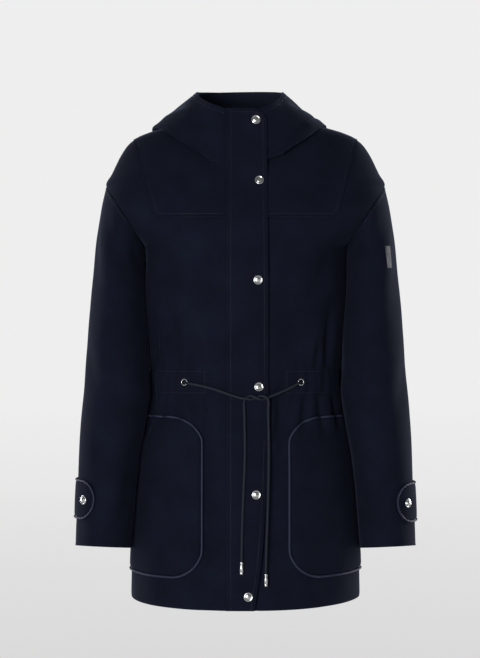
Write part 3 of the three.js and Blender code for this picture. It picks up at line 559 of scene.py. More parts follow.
def ring_point(sign, front, z, ring, angle):
    half, depth, power, _ = ring
    sin, cos = np.sin(angle), np.clip(np.cos(angle), 0, 1)
    x = half * np.sign(sin) * np.abs(sin) ** (2 / power)
    y = depth * cos ** (2 / power)
    right_front = np.logical_and(front, np.asarray(sign) < 0)
    round_off = np.where(right_front, HEM_ROUND["right"], HEM_ROUND["left"])
    dip = HEM_DIP * smoothstep(-z, 600, -HEM_Z) * cos ** round_off
    return np.stack([sign * x, -y if front else y, z - dip], -1)


def last_angle(ring):
    """Where the ring ends: at the side seam, or sooner at the armhole."""
    return ring_angle(ring[0] * ring[3], ring)


def front_point(sign, start_x):
    def point(across, z):
        ring = ring_at(z, True)
        start = ring_angle(start_x, ring)
        angle = start + (last_angle(ring) - start) * np.clip(across, 0, 1)
        return ring_point(sign, True, z, ring, angle)
    return point


def back_point(across, z):
    ring = ring_at(z, False)
    sign = np.where(across < 0, -1.0, 1.0)
    return ring_point(sign, False, z, ring, np.abs(np.clip(across, -1, 1)) * last_angle(ring))


def front_at(x, z):
    ring = ring_at(z, True)
    sign = np.where(np.asarray(x) < 0, -1.0, 1.0)
    return ring_point(sign, True, z, ring, ring_angle(np.abs(x), ring))


def placket_base(x, z):
    """Where the placket lies: on the fronts, and on the hood above the neckline."""
    share = (1 - np.abs(x / ARM_TOP_X) ** COLLAR_POWER) ** (1 / COLLAR_POWER)
    (depth,) = through(COLLAR, z)
    above = np.stack([x + 0 * z, -depth * share, z + 0 * x], -1)
    return np.where((z < ARM_TOP_Z)[..., None], front_at(x, np.minimum(z, ARM_TOP_Z)), above)


# %% [markdown]
# ## Cutting cloth out of a surface
#
# Every panel starts as a fine grid on its surface. A seam that isn't a grid line, such as the
# neckline, is a field: a number at each point that is positive where the cloth stays. `clip`
# walks round each face, keeps its positive part and cuts its edges where the number is zero. So
# the cut is smooth, whatever the grid.
#
# `shell` then gives the sheet its thickness. The outer side may be raised by a fold and pressed
# down towards a seam. The inner side takes the fold only. A narrow bevel rounds the cut edges, as
# felted wool does.

# %% Cloth shells
SLIVER = 0.35  # points closer than this are joined after a cut
RIM_ANGLE = 50  # edges sharper than this are rims, and are rounded
OUTWARD = (0, -1, 0)  # the way out of every piece on the front


def drop_unused(rows, faces):
    used = sorted({v for face in faces for v in face})
    number = {v: i for i, v in enumerate(used)}
    return rows[used], [[number[v] for v in face] for face in faces]


def tree_of(points):
    tree = kdtree.KDTree(len(points))
    for i, point in enumerate(points):
        tree.insert(point, i)
    tree.balance()
    return tree


def clip(rows, faces, field):
    """Keeps the part of each face where a field of the rows is positive."""
    value = field(rows)
    inside = (value > 0).tolist()
    if all(inside):
        return rows, faces
    extra, made, kept = [], {}, []
    for face in faces:
        loop = []
        for a, b in zip(face, face[1:] + face[:1]):
            if inside[a]:
                loop.append(a)
            if inside[a] != inside[b]:
                low, high = min(a, b), max(a, b)
                if (low, high) not in made:
                    t = value[low] / (value[low] - value[high])
                    made[low, high] = len(rows) + len(extra)
                    extra.append(rows[low] * (1 - t) + rows[high] * t)
                loop.append(made[low, high])
        if len(loop) > 2:
            kept.append(loop)
    return drop_unused(np.vstack([rows, extra]) if extra else rows, kept)


def merge_close(rows, faces, distance):
    """Joins points closer than `distance`, so that clipping leaves no slivers."""
    tree = tree_of(rows[:, :3])
    target = list(range(len(rows)))
    for i, row in enumerate(rows):
        if target[i] == i:
            for _, j, _ in tree.find_range(row[:3], distance):
                if j > i and target[j] == j:
                    target[j] = i
    faces = [[target[v] for v in face] for face in faces]
    faces = [[v for k, v in enumerate(face) if v != face[k - 1]] for face in faces]
    return drop_unused(rows, [face for face in faces if len(face) > 2])


def boundary(faces):
    """The edges that belong to one face only, in that face's direction."""
    edges = {(a, b) for face in faces for a, b in zip(face, face[1:] + face[:1])}
    return [(a, b) for a, b in edges if (b, a) not in edges]


def distance_to_edge(rows, edges):
    tree = tree_of(rows[sorted({v for edge in edges for v in edge}), :3])
    return np.array([tree.find(row[:3])[2] for row in rows])


def surface_normals(point, across, up, step):
    du, dv = step
    along = point(across + du, up) - point(across - du, up)
    rise = point(across, up + dv) - point(across, up - dv)
    return unit(np.cross(along, rise))


def shell(name, point, us, vs, outside, fold, high=0.0, low=-CLOTH, keep=(), closed=False,
          step=(1e-3, 0.4), seam_press=0.9, seam_width=3.0, material=None, edge=0.7, settle=None,
          painted_light_inside=None):
    """A cloth panel with thickness. `outside` is (u, v, direction) where the outer side is known.

    Each row is a point of the cloth: its place, the direction out of it, and its u and v.
    """
    across, up = np.meshgrid(us[:-1] if closed else us, vs)
    at, out = point(across, up), surface_normals(point, across, up, step)
    u, v, direction = outside
    sample = surface_normals(point, np.array([[float(u)]]), np.array([[float(v)]]), step)[0, 0]
    flip = float(np.dot(sample, direction)) < 0
    rows = np.concatenate([at, -out if flip else out, across[..., None], up[..., None]], -1)
    rows = rows.reshape(-1, 8)
    faces = grid_faces(*across.shape, closed)
    if flip:
        faces = [face[::-1] for face in faces]
    for field in keep:
        rows, faces = clip(rows, faces, field)
    rows, faces = merge_close(rows, faces, SLIVER)
    edges = boundary(faces)
    at, out = rows[:, :3], unit(settle(rows) if settle else rows[:, 3:6])
    rise = fold(rows)
    press = seam_press * bell(distance_to_edge(rows, edges), seam_width)
    outer = at + out * (high + rise - press)[:, None]
    inner = at + out * (low + rise)[:, None]
    total = len(rows)
    solid = faces + [[v + total for v in face[::-1]] for face in faces]
    solid += [[b, a, a + total, b + total] for a, b in edges]
    piece = new_piece(name, np.vstack([outer, inner]), solid, material or navy_wool,
                      sharp_from=RIM_ANGLE)
    # The inner faces near the hood's edge take the lighter wool, as painted light.
    if painted_light_inside:
        piece.data.materials.append(painted_light_inside)
        for polygon, face in zip(piece.data.polygons[len(faces) :], faces):
            polygon.material_index = int(rows[face[0], 7] > PAINTED_LIGHT_FROM)
    bevel = piece.modifiers.new("rounded edges", "BEVEL")
    bevel.width = edge * MM
    bevel.segments = 2
    bevel.limit_method = "ANGLE"
    bevel.angle_limit = math.radians(RIM_ANGLE)
    bevel.use_clamp_overlap = True
    print(f"{name}: {total} points a side, {sum(len(f) - 2 for f in solid)} triangles")
    return piece


# %% [markdown]
# ## Creases
#
# Heavy wool folds softly: a long shallow trough with a low swelling on each side. Each crease
# here is given as one row: where it starts and ends, how far it bows, how wide and how
# deep it is. Because a crease is measured as a distance in space, it runs on over a seam from one
# panel to the next without a step.

# %% Creases
def crease(at, start, end, bow, wide, deep):
    """Height of one soft trough along a bowed line, fading out at both ends."""
    t = np.linspace(0, 1, 28)[:, None]
    path = start * (1 - t) + end * t + np.asarray(bow, float) * 4 * t * (1 - t)
    gap = np.linalg.norm(at[:, None] - path[None], axis=-1)
    nearest = gap.argmin(axis=1)
    away = gap[np.arange(len(at)), nearest] / wide
    fade = np.sin(np.pi * np.clip(t[nearest, 0], 0.02, 0.98)) ** 0.6
    return deep * fade * (0.38 * bell(away - 1.9, 1) - bell(away, 1))


def creases(at, rows, place):
    """All creases of a table; `place` turns a row's two ends and its bow into points."""
    height = np.zeros(len(at))
    for row in rows:
        start, end, bow, wide, deep = place(row)
        near = np.linalg.norm(at - (start + end) / 2, axis=1)
        close = near < np.linalg.norm(end - start) / 2 + 4 * wide + 30
        if close.any():
            height[close] += crease(at[close], start, end, bow, wide, deep)
    return height


def creases_on(surface, table, bow_up, turn_unit=1.0):
    """The same for a table whose ends are places on a surface: the height, by the point."""
    def place(row):
        turn0, along0, turn1, along1, bow, wide, deep = row
        start, end = (surface(np.array(turn * turn_unit), np.array(float(along)))
                      for turn, along in ((turn0, along0), (turn1, along1)))
        return start, end, (0, 0, bow_up * bow), wide, deep
    return lambda at: creases(at, table, place)


# %% [markdown]
# ## Creases of the trunk
#
# The waist is drawn in by the cord, so short pleats stand above and below the casing, closer
# together near the eyelets and the side seams. Longer, shallower troughs hang from the chest and
# from the armholes. On the back, which hides behind the sleeves from in front, the same cloth
# does the same things: pleats at the waist and slow folds under the shoulder blades.

# %% Trunk creases
FRONT_CREASES = [  # x and z of both ends, bow in x, width, depth
    (-134, -250, -118, -372, 4, 17, 2.8),
    (-146, -304, -142, -380, 1, 8, 2.0),
    (-118, -300, -108, -386, -3, 10, 1.6),
    (-78, -322, -84, -388, 3, 9, 1.3),
    (-52, -190, -60, -330, 6, 20, 1.5),
    (-134, -352, -137, -404, 1, 5, 1.6),
    (-88, -364, -92, -396, 1, 5, 1.2),
    (-128, -418, -134, -470, 2, 6, 2.0),
    (-110, -424, -105, -486, -2, 7, 1.4),
    (-86, -420, -78, -470, 2, 6, 1.6),
    (-60, -424, -56, -520, -2, 9, 1.5),
    (-148, -424, -156, -492, 1, 8, 2.1),
    (-50, -500, -46, -700, 3, 17, 2.7),
    (54, -412, 49, -498, 2, 7, 2.8),
    (70, -424, 60, -520, -3, 9, 2.0),
    (48, -500, 52, -710, -3, 16, 2.7),
    (96, -420, 88, -478, 2, 6, 1.5),
    (118, -420, 124, -486, -2, 7, 1.9),
    (140, -424, 148, -488, 2, 7, 2.0),
    (118, -336, 112, -388, 1, 6, 1.6),
    (136, -300, 130, -384, -2, 8, 1.7),
    (139, -268, 132, -376, -3, 14, 2.5),
    (70, -240, 84, -372, -6, 18, 1.7),
    (-136, -194, -92, -262, -7, 16, 1.8),
    (138, -196, 98, -268, 7, 16, 2.0),
    (-112, -60, -66, -122, 4, 15, 1.2),
    (110, -62, 70, -128, -4, 15, 1.1),
    (-128, -640, -122, -748, 2, 18, 1.7),
    (124, -630, 130, -748, -2, 18, 1.6),
    (-60, -700, -58, -760, 1, 14, 1.6),
]
BACK_CREASES = [
    (-130, -170, -96, -370, 14, 22, 3.2),
    (128, -180, 90, -372, -12, 20, 3.0),
    (-66, -260, -52, -384, 5, 14, 2.2),
    (58, -280, 44, -384, -5, 12, 1.9),
    (2, -300, -6, -386, 2, 10, 1.4),
    (-144, -330, -138, -396, 1, 7, 2.0),
    (-112, -350, -114, -394, 1, 6, 1.6),
    (-84, -356, -80, -394, 1, 5, 1.5),
    (-30, -352, -34, -392, 1, 6, 1.4),
    (26, -356, 22, -392, 1, 5, 1.5),
    (78, -350, 82, -394, 1, 6, 1.7),
    (118, -346, 112, -394, 1, 6, 1.6),
    (146, -330, 140, -396, 1, 7, 1.9),
    (-140, -424, -148, -496, 2, 8, 2.2),
    (-108, -424, -112, -482, 1, 6, 1.7),
    (-76, -422, -70, -500, 2, 8, 2.1),
    (-40, -424, -44, -476, 1, 6, 1.5),
    (-8, -424, -2, -520, 2, 9, 1.9),
    (34, -422, 38, -480, 1, 6, 1.6),
    (66, -424, 60, -510, 2, 8, 2.0),
    (102, -424, 108, -478, 1, 6, 1.6),
    (140, -424, 148, -498, 2, 8, 2.2),
    (-84, -540, -92, -740, 6, 26, 2.6),
    (20, -560, 26, -748, -5, 24, 2.2),
    (100, -540, 112, -744, 5, 26, 2.5),
    (-150, -110, -90, -136, 4, 16, 1.8),
    (150, -112, 92, -140, 4, 16, 1.7),
]
DEPTH = 2.0  # melton is thick, so its folds stand deeper than those of a lining
PLEAT_WIDE, PLEAT_DEPTH = 10.5, 2.9  # narrow pleats, held by the cord, are deeper still
CASING_TOP, CASING_LOW = -388, -422
CASING_START = 65  # the casing's stitching starts this far out from the centre in front
RUCHES = [(0.5, 37, 0), (0.35, 61, 1.3), (0.3, 23, 0.4)]  # depth, how many round the waist, turn
SIDE_SWELLS = [  # height towards the sleeve, then how far down it starts, is full, fades and ends
    (2.8, 178, 191, 290, 345), (2.0, 395, 420, 455, 480),
]


def crease_ends(row, front):
    """A row of the tables above as two ends, a bow, a width and a depth."""
    x0, z0, x1, z1, bow, wide, deep = row
    ends = []
    for x, z in ((x0, float(z0)), (x1, float(z1))):
        ring, sign = ring_at(np.array(z), front), math.copysign(1, x)
        across = min(abs(x), float(ring[0]) * 0.985)
        ends.append(ring_point(sign, front, z, ring, ring_angle(across, ring)))
    return *ends, (bow, 0, 0), wide, deep * (PLEAT_DEPTH if wide < PLEAT_WIDE else DEPTH)


def trunk_fold(rows):
    """Height of the cloth over the trunk's surface: its creases and the ruched casing."""
    at = rows[:, :3]
    x, y, z = at.T
    height = np.zeros(len(at))
    for table, front in ((FRONT_CREASES, True), (BACK_CREASES, False)):
        mask = (y < 8) if front else (y > -8)
        if mask.any():
            height[mask] += creases(at[mask], table, lambda row: crease_ends(row, front))
    around = np.arctan2(x, -y)
    ruche = sum(deep * np.sin(around * count + turn) for deep, count, turn in RUCHES)
    middle = np.where(y < 0, smoothstep(np.abs(x), CASING_START - 14, CASING_START + 4), 1.0)
    inside = band(z, CASING_LOW - 5, CASING_LOW + 3, CASING_TOP - 3, CASING_TOP + 5)
    lines = bell(z - CASING_TOP, 2.6) + bell(z - CASING_LOW, 2.6)
    near = bell(z - (CASING_TOP + CASING_LOW) / 2, 34)
    height += middle * (inside * (0.9 + 0.8 * ruche) - 0.8 * lines + 0.9 * near * ruche)
    at_side = smoothstep(np.abs(x), 146, 158)
    for deep, *heights in SIDE_SWELLS:
        height += deep * at_side * band(-z, *heights)
    return height


# %% [markdown]
# ## Fronts, yokes and back
#
# The yoke is a shallow panel over each shoulder, sewn to the front along a level seam with a
# rounded outer corner. `yoke_depth` measures how far inside the yoke a point is, so the same
# field, with its sign turned, also cuts the front below it.

# %% Fields of the seams
def neck_room(rows, drop):
    """Positive outside the neckline."""
    x, z = rows[:, 0], rows[:, 2]
    below = NECK_SIDE_Z - z
    a, b = NECK_HALF + NECK_ROOM, drop + NECK_ROOM
    oval = (np.sqrt((x / a) ** 2 + (np.maximum(below, 0) / b) ** 2) - 1) * min(a, b)
    return np.where(below > 0, oval, np.abs(x) - a)


def yoke_depth(rows):
    x, z = np.abs(rows[:, 0]), rows[:, 2]
    up = z - YOKE_LOW_Z
    inward = (YOKE_LOW_X + YOKE_SLOPE * up - x) / math.hypot(1, YOKE_SLOPE)
    short_up, short_in = np.minimum(up - YOKE_CORNER, 0), np.minimum(inward - YOKE_CORNER, 0)
    both = (up < YOKE_CORNER) & (inward < YOKE_CORNER)
    return np.where(both, YOKE_CORNER - np.hypot(short_up, short_in), np.minimum(up, inward))


YOKE_STITCH = 5.5  # the yoke is topstitched this far in from its seam
PLACKET_EDGE = [  # height, how far the placket's free edge is from the centre
    (-770, 12.5), (-742, 16), (-690, 24), (-640, 29), (-560, 33.5), (-412, 36.2), (-100, 34.8),
    (40, 34.2),
]
EYELETS = {"right": (-97, -405), "left": (87.6, -404.8)}
EYELET_HOLE = 3.7


def yoke_fold(rows):
    return trunk_fold(rows) - groove(yoke_depth(rows) - YOKE_STITCH)


def placket_edge(z):
    return through(PLACKET_EDGE, z)[0]


def under_placket(rows):
    """The left front dips beside the placket's free edge."""
    away = rows[:, 0] - placket_edge(rows[:, 2]) - 1.4
    deep = 2.8 + 1.4 * smoothstep(-rows[:, 2], 380, 460)
    return trunk_fold(rows) - deep * bell(away, 3.6)


def eyelet_room(side):
    x, z = EYELETS[side]
    return lambda rows: np.hypot(rows[:, 0] - x, rows[:, 2] - z) - EYELET_HOLE


# %% Cut the trunk
near_yoke_seam = {YOKE_LOW_Z + d for d in (-3, -1, 1, 3)}
near_casing = {z + d for z in (CASING_TOP, CASING_LOW) for d in (-2, 0, 2)}
even_heights = set(np.round(np.linspace(HEM_Z, 36, 226), 2))
trunk_heights = np.array(sorted(
    even_heights | {HEM_Z + 1, HEM_Z + 3} | near_yoke_seam | near_casing))
half_across = np.concatenate([np.linspace(0, 0.97, 68), [0.98, 0.988, 0.995, 0.99997]])
panels = {}
for side, sign in SIDES.items():
    surface = front_point(sign, FRONT_START[side])
    drop = NECK_FRONT[side] - UNDER_HOOD[side]
    above_neck = lambda rows: neck_room(rows, drop)
    panels[f"front_{side}"] = shell(
        f"panel_front_{side}", surface, half_across, trunk_heights, (0.4, -300, OUTWARD),
        under_placket if side == "left" else trunk_fold, seam_press=0.5,
        keep=(above_neck, lambda rows: -yoke_depth(rows) - SEAM / 2, eyelet_room(side)))
    panels[f"yoke_{side}"] = shell(
        f"panel_yoke_{side}", surface, half_across, trunk_heights[trunk_heights > YOKE_LOW_Z - 8],
        (0.4, -300, OUTWARD), yoke_fold, seam_press=-1.1, seam_width=2.4,
        keep=(above_neck, lambda rows: yoke_depth(rows) - SEAM / 2))
back_across = np.concatenate([-half_across[:0:-1], half_across])
panels["back"] = shell(
    "panel_back", back_point, back_across, trunk_heights, (0.2, -300, (0, 1, 0)), trunk_fold,
    keep=(lambda rows: neck_room(rows, NECK_BACK),))

# %% [markdown]
# ## Sleeves
#
# A set-in sleeve starts at the armhole, a flat oval that slants down and in, and turns by degrees
# into the nearly level ring of the cuff. One table holds that change: the outer and the inner end
# of each ring in the front view, its half depth, how far forward the arm hangs, and how much
# higher the ring is in front, because an arm that swings forward tilts its cuff. The elbow
# gathers the cloth into a few slanting folds on the inner side, each arm in its own way.

# %% Sleeve surface
SLEEVE = [  # ring, outer x and z, inner x and z, half depth, how far ahead, rise in front
    (0, 229, -86, 163.5, -186, 80, 0, 0), (1, 236, -118, 165.2, -199, 79, 3, 0),
    (2, 241, -150, 166.4, -216, 76, 9, 0), (3, 245, -185, 165.9, -240, 73, 19, 0.5),
    (4, 249, -240, 163.8, -280, 70, 31, 1), (5, 253.5, -304, 159.6, -325, 68, 41, 1.5),
    (6, 258, -359, 157.6, -367, 67, 48, 2.5), (7, 261.5, -409, 155.6, -412, 66, 52, 3.5),
    (8, 265, -453, 162, -456, 65, 53.5, 4.5), (9, 268, -500, 169.8, -502, 64, 54, 5.5),
    (10, 271, -559, 175.8, -560, 62, 54, 6.5), (11, 273.5, -616, 181, -618, 61, 54, 7),
    (12, 275.5, -671, 185.5, -675, 60, 53, 7.5),
]


def sleeve_point(sign):
    def point(turn, along):
        outer_x, outer_z, inner_x, inner_z, depth, ahead, rise = through(
            SLEEVE, np.clip(along, -0.5, 12.5))
        cos, sin = np.cos(turn), np.sin(turn)
        x = (outer_x + inner_x) / 2 + (outer_x - inner_x) / 2 * cos
        z = (outer_z + inner_z) / 2 + (outer_z - inner_z) / 2 * cos + rise * sin
        return np.stack([sign * x, -ahead - depth * sin, z], -1)
    return point


def sleeve_along(turn, z):
    """The ring at which the sleeve's side at `turn` is at height z, found by halving."""
    low, high = 0 * np.asarray(z, float), 12.0 + 0 * np.asarray(z, float)
    for _ in range(34):
        middle = (low + high) / 2
        above = sleeve_point(1)(turn, middle)[..., 2] > z
        low, high = np.where(above, middle, low), np.where(above, high, middle)
    return (low + high) / 2


SLEEVE_CREASES = {  # turn and ring of both ends, bow down, width, depth
    "right": [
        (52, 0.9, 100, 3.2, 6, 13, 2.8), (118, 0.9, 150, 3.0, 4, 11, 2.4),
        (20, 1.6, 46, 4.4, 6, 18, 2.6), (150, 4.4, 66, 6.0, 9, 14, 3.4),
        (160, 6.4, 78, 7.3, 10, 12, 3.8), (150, 8.1, 60, 7.9, -6, 11, 2.6),
        (20, 5.6, 62, 7.2, 5, 15, 2.4), (86, 8.6, 40, 11.2, 5, 20, 2.2),
        (150, 9.2, 128, 11.6, 3, 14, 2.2), (250, 1.0, 216, 3.4, 6, 13, 3.0),
        (320, 1.4, 300, 4.6, 6, 18, 2.6), (200, 5.2, 280, 6.6, 9, 14, 3.6),
        (196, 6.9, 270, 7.6, 9, 12, 3.6), (300, 7.6, 320, 10.6, 4, 18, 2.4),
        (232, 8.8, 250, 11.4, 4, 16, 2.3),
    ],
    "left": [
        (56, 1.0, 96, 3.6, 7, 14, 2.9), (120, 1.0, 146, 2.8, 4, 10, 2.2),
        (24, 1.8, 52, 5.0, 6, 18, 2.4), (156, 5.0, 70, 6.4, 9, 13, 3.5),
        (158, 6.9, 84, 7.6, 9, 11, 3.4), (146, 8.8, 66, 8.3, -6, 12, 2.6),
        (22, 6.2, 58, 8.0, 5, 16, 2.4), (90, 8.9, 54, 11.4, 4, 18, 2.0),
        (148, 9.8, 132, 11.8, 3, 13, 2.0), (244, 1.1, 210, 3.2, 6, 13, 2.8),
        (316, 1.6, 296, 4.8, 6, 18, 2.5), (204, 5.6, 276, 6.9, 9, 14, 3.6),
        (200, 7.3, 262, 8.1, 9, 11, 3.2), (296, 8.0, 316, 10.8, 4, 18, 2.3),
        (228, 9.2, 244, 11.6, 4, 15, 2.1),
    ],
}
ARM_SWELLS = [  # height towards the trunk, then the rings where it starts, is full, fades and ends
    (3.0, 0.05, 0.6, 3.6, 5.2), (2.2, 6.6, 7.4, 8.6, 9.6),
]
SLEEVE_STEP = (1e-3, 0.01)  # steps of turn and ring, small enough to find the way out of the cloth


def sleeve_fold(side):
    folds = creases_on(sleeve_point(SIDES[side]), SLEEVE_CREASES[side], -1, math.radians(1))

    def height(rows):
        at, turn, ring = rows[:, :3], rows[:, 6], rows[:, 7]
        slow = 0.8 * np.sin(at[:, 2] / 31 + at[:, 1] / 40) * band(-at[:, 2], 130, 260, 600, 670)
        full = sum(deep * band(ring, *rings) for deep, *rings in ARM_SWELLS)
        return folds(at) + slow + full * bell(turn - math.pi, 0.8)
    return height


# %% Cut the sleeves
sleeve_turns = np.linspace(0, 2 * math.pi, 109)
sleeve_rings = np.concatenate([[0.02, 0.05, 0.12], np.linspace(0.2, 11.88, 168),
                               [11.94, 11.975, 12]])
for side, sign in SIDES.items():
    panels[f"sleeve_{side}"] = shell(
        f"panel_sleeve_{side}", sleeve_point(sign), sleeve_turns, sleeve_rings,
        (0, 6, (sign, 0, 0)), sleeve_fold(side), closed=True, step=SLEEVE_STEP,
        seam_press=-0.5, seam_width=2.4)

# %% [markdown]
# ## Hood
#
# The hood lies folded back. From the neck seam the cloth runs out as an under layer, turns over at
# a fold, and comes back up to its open edge. The table gives those places in sections round the
# neck, from the front (0 degrees) to the centre of the back (180 degrees). A worn hood never lies
# even: the left wing is narrower and the back seam leans to the left.

# %% Hood surface
HOOD = [  # turn, then under layer, fold, outer layer, crown and edge, each as x, y, z
    (0, 0, -97, -71, 0, -95.7, -66, 0, -89.8, -33, 0, -85.4, 0, 0, -81.8, 33),
    (20, 28, -94.6, -64, 28, -93.4, -58, 28, -88.2, -28, 28, -84.6, 4, 28, -81.2, 34),
    (30, 41, -92, -57, 42, -92.4, -51, 43, -87.8, -20, 42, -83.8, 10, 40, -79.5, 38),
    (45, 62, -88, -44, 65, -91, -40, 66, -84, -12, 64, -77, 18, 58, -70, 45.5),
    (68, 90, -73, -8, 108, -73, -15, 101, -65, 12, 91, -56, 36, 73, -44, 57),
    (79, 106, -54, 12, 134, -48, 3, 118, -40, 26, 99, -33, 46, 78, -24, 65.5),
    (90, 114, -4, 25, 152, -6, 11.5, 131, -3, 30, 105, -1, 49, 80, 0, 71.5),
    (112, 114, 54, 16, 150, 60, -2, 138, 70, 24, 110, 54, 51, 78, 30, 74.5),
    (135, 82, 92, -14, 122, 108, -66, 116, 124, -16, 90, 102, 38, 62, 54, 77),
    (158, 46, 110, -50, 70, 131, -136, 72, 150, -66, 50, 128, 28, 34, 68, 79.5),
    (180, 0, 115, -70, 0, 137, -172, 0, 158, -86, 0, 136, 26, 0, 73, 80.5),
]
LEFT_WING = (1, 0.96, 0.87, 0.845, 0.8, 0.77)  # width of the left half, from neck to edge
LEFT_SHIFT = [  # turn, then how far back and up the left under layer and the left fold are moved
    (0, 5.5, 24, 4.9, 22), (20, 5, 21.5, 4.4, 16.5), (30, 2.4, 16, 2.6, 7), (45, 0, 11, 0, 2),
    (68, 0, 3, 0, 3), (90, 0, 2, 0, 2), (135, 0, 0, 0, 0), (180, 0, 0, 0, 0),
]
BACK_SEAM_LEAN = (0, 5, 12, 20, 25, 28)  # how far the back seam leans, from neck to edge


def neck_seam(sign, turn):
    angle = math.radians(turn)
    x, front = NECK_HALF * math.sin(angle), turn < 90
    drop = NECK_FRONT["left" if sign > 0 else "right"] if front else -NECK_BACK
    z = NECK_SIDE_Z - drop * math.cos(angle)
    ring = ring_at(np.array(z), front)
    y = float(ring_point(1, front, z, ring, ring_angle(x, ring))[1])
    if turn <= 20:
        y = float(placket_base(np.array(x), np.array(z))[1]) + 1
    return x, y, z + (1 + 2 * math.sin(angle) if front else 3)


def hood_table(sign):
    """The rows of HOOD for one half, with a mirrored row past each end for the curves' slopes."""
    rows = []
    for turn, *numbers in HOOD:
        places = [neck_seam(sign, turn), *np.reshape(numbers, (5, 3))]
        back = float(smoothstep(turn, 100, 180))
        shift = through(LEFT_SHIFT, float(turn)).reshape(2, 2)
        row = [turn]
        for k, (x, y, z) in enumerate(places):
            wing = LEFT_WING[k] if sign > 0 else 1
            to_back, up = shift[k - 1] if sign > 0 and k in (1, 2) else (0, 0)
            row += [sign * x * wing + BACK_SEAM_LEAN[k] * back, y + to_back, z + up]
        rows.append(row)

    def mirrored(row, turn, lean):
        copy = [turn] + row[1:]
        for k in range(6):
            copy[1 + 3 * k] = 2 * lean * BACK_SEAM_LEAN[k] - row[1 + 3 * k]
        return copy

    return [mirrored(rows[1], -rows[1][0], 0), *rows, mirrored(rows[-2], 202, 1)]


def hood_point(sign):
    table = hood_table(sign)

    def point(turn, along):
        keys = np.moveaxis(through(table, turn), 0, -1).reshape(*np.shape(turn), 6, 3)
        at = np.clip(along, 0, 1) * 5
        i = np.clip(np.floor(at).astype(int), 0, 4)
        pick = lambda k: np.take_along_axis(keys, np.clip(k, 0, 5)[..., None, None], axis=-2)
        a, b, c, d = (pick(i + k)[..., 0, :] for k in (-1, 0, 1, 2))
        slope_b = (c - a) / np.where(i > 0, 2, 1)[..., None]
        slope_c = (d - b) / np.where(i < 4, 2, 1)[..., None]
        return cubic((at - i)[..., None], b, c, slope_b, slope_c)
    return point


HOOD_STITCH = 0.94  # place along the hood of the topstitching behind its edge
HOOD_STEP = (0.2, 0.004)  # steps of turn and place along the hood, for the same use
HOOD_CREASES = {  # turn and place of both ends, bow in z, width, depth
    "right": [
        (40, 0.78, 66, 0.62, 3, 9, 1.8), (62, 0.86, 98, 0.66, 4, 11, 2.4),
        (92, 0.56, 132, 0.5, -5, 12, 2.4), (110, 0.92, 150, 0.7, 5, 14, 2.8),
        (140, 0.62, 176, 0.56, -4, 13, 2.2), (150, 0.9, 176, 0.8, 3, 11, 2.0),
        (72, 0.46, 96, 0.5, 3, 8, 1.5),
    ],
    "left": [
        (44, 0.8, 70, 0.64, 3, 8, 1.6), (66, 0.9, 104, 0.7, 4, 10, 2.2),
        (96, 0.56, 128, 0.52, -5, 12, 2.2), (116, 0.9, 148, 0.72, 5, 12, 2.4),
        (144, 0.6, 174, 0.58, -4, 12, 2.0), (78, 0.5, 100, 0.52, 3, 8, 1.4),
    ],
}


def hood_fold(side):
    folds = creases_on(hood_point(SIDES[side]), HOOD_CREASES[side], 1)
    return lambda rows: folds(rows[:, :3]) - groove(rows[:, 7] - HOOD_STITCH, 0.006)


def square_to_seam(rows):
    """Normals turned into the plane of the back seam near it, so that both halves meet there."""
    out = rows[:, 3:6].copy()
    out[:, 0] *= 1 - smoothstep(rows[:, 6], 166, 179)
    return out


# From here along the hood's cloth to its edge, the inner faces are painted lighter, as if lit.
PAINTED_LIGHT_FROM = 0.62  # the hood's inner face shows from this far along its cloth up to the edge

# %% Cut the hood
hood_alongs = np.concatenate([[0, 0.008, 0.02], np.linspace(0.035, 0.965, 92), [0.98, 0.992, 1]])
for side, sign in SIDES.items():
    turns = np.concatenate([np.linspace(-8 if sign > 0 else 18, 176.5, 86), [178, 179.98]])
    panels[f"hood_{side}"] = shell(
        f"panel_hood_{side}", hood_point(sign), turns, hood_alongs, (68, 0.75, (sign, -1, 1)),
        hood_fold(side), step=HOOD_STEP, seam_press=0.5, settle=square_to_seam, edge=0.5,
        painted_light_inside=painted_light_wool)

# %% [markdown]
# ## Placket
#
# The placket is a long strip of the same cloth over the front opening, sewn down along its edge on
# the wearer's right. It climbs from the hem over the neckline to the top of the hood's standing
# front, where its free corner is round. It follows every fold of the front below it.

# %% Placket
PLACKET_OUTER_X, PLACKET_TOP_Z, PLACKET_CORNER, PLACKET_LAY = -31, 35, 24, 0.9
SEWN_STITCH, FREE_STITCH = 7.5, 6.5  # stitches this far in from the sewn and the free edge


def placket_point(across, up):
    free = np.clip(across, 0, 1)
    share = PLACKET_CORNER / (float(placket_edge(PLACKET_TOP_Z)) - PLACKET_OUTER_X)
    past = np.maximum(0, free - (1 - share)) / share
    top = PLACKET_TOP_Z - PLACKET_CORNER * (1 - np.sqrt(np.clip(1 - past * past, 0, 1)))
    z = HEM_Z + (top - HEM_Z) * np.clip(up, 0, 1)
    return placket_base(PLACKET_OUTER_X + (placket_edge(z) - PLACKET_OUTER_X) * free, z)


def placket_fold(rows):
    """The folds of the front below, and slow waves of its own towards the free edge."""
    x, z = rows[:, 0], rows[:, 2]
    wave = 0.7 * np.sin(z / 42 + 0.6) + 0.4 * np.sin(z / 19)
    loose = smoothstep(x, -10, 34) * wave * smoothstep(-z, 20, 120)
    sewn = groove(x - PLACKET_OUTER_X - SEWN_STITCH) + groove(placket_edge(z) - FREE_STITCH - x)
    return trunk_fold(rows) * (z < -96) + loose - sewn


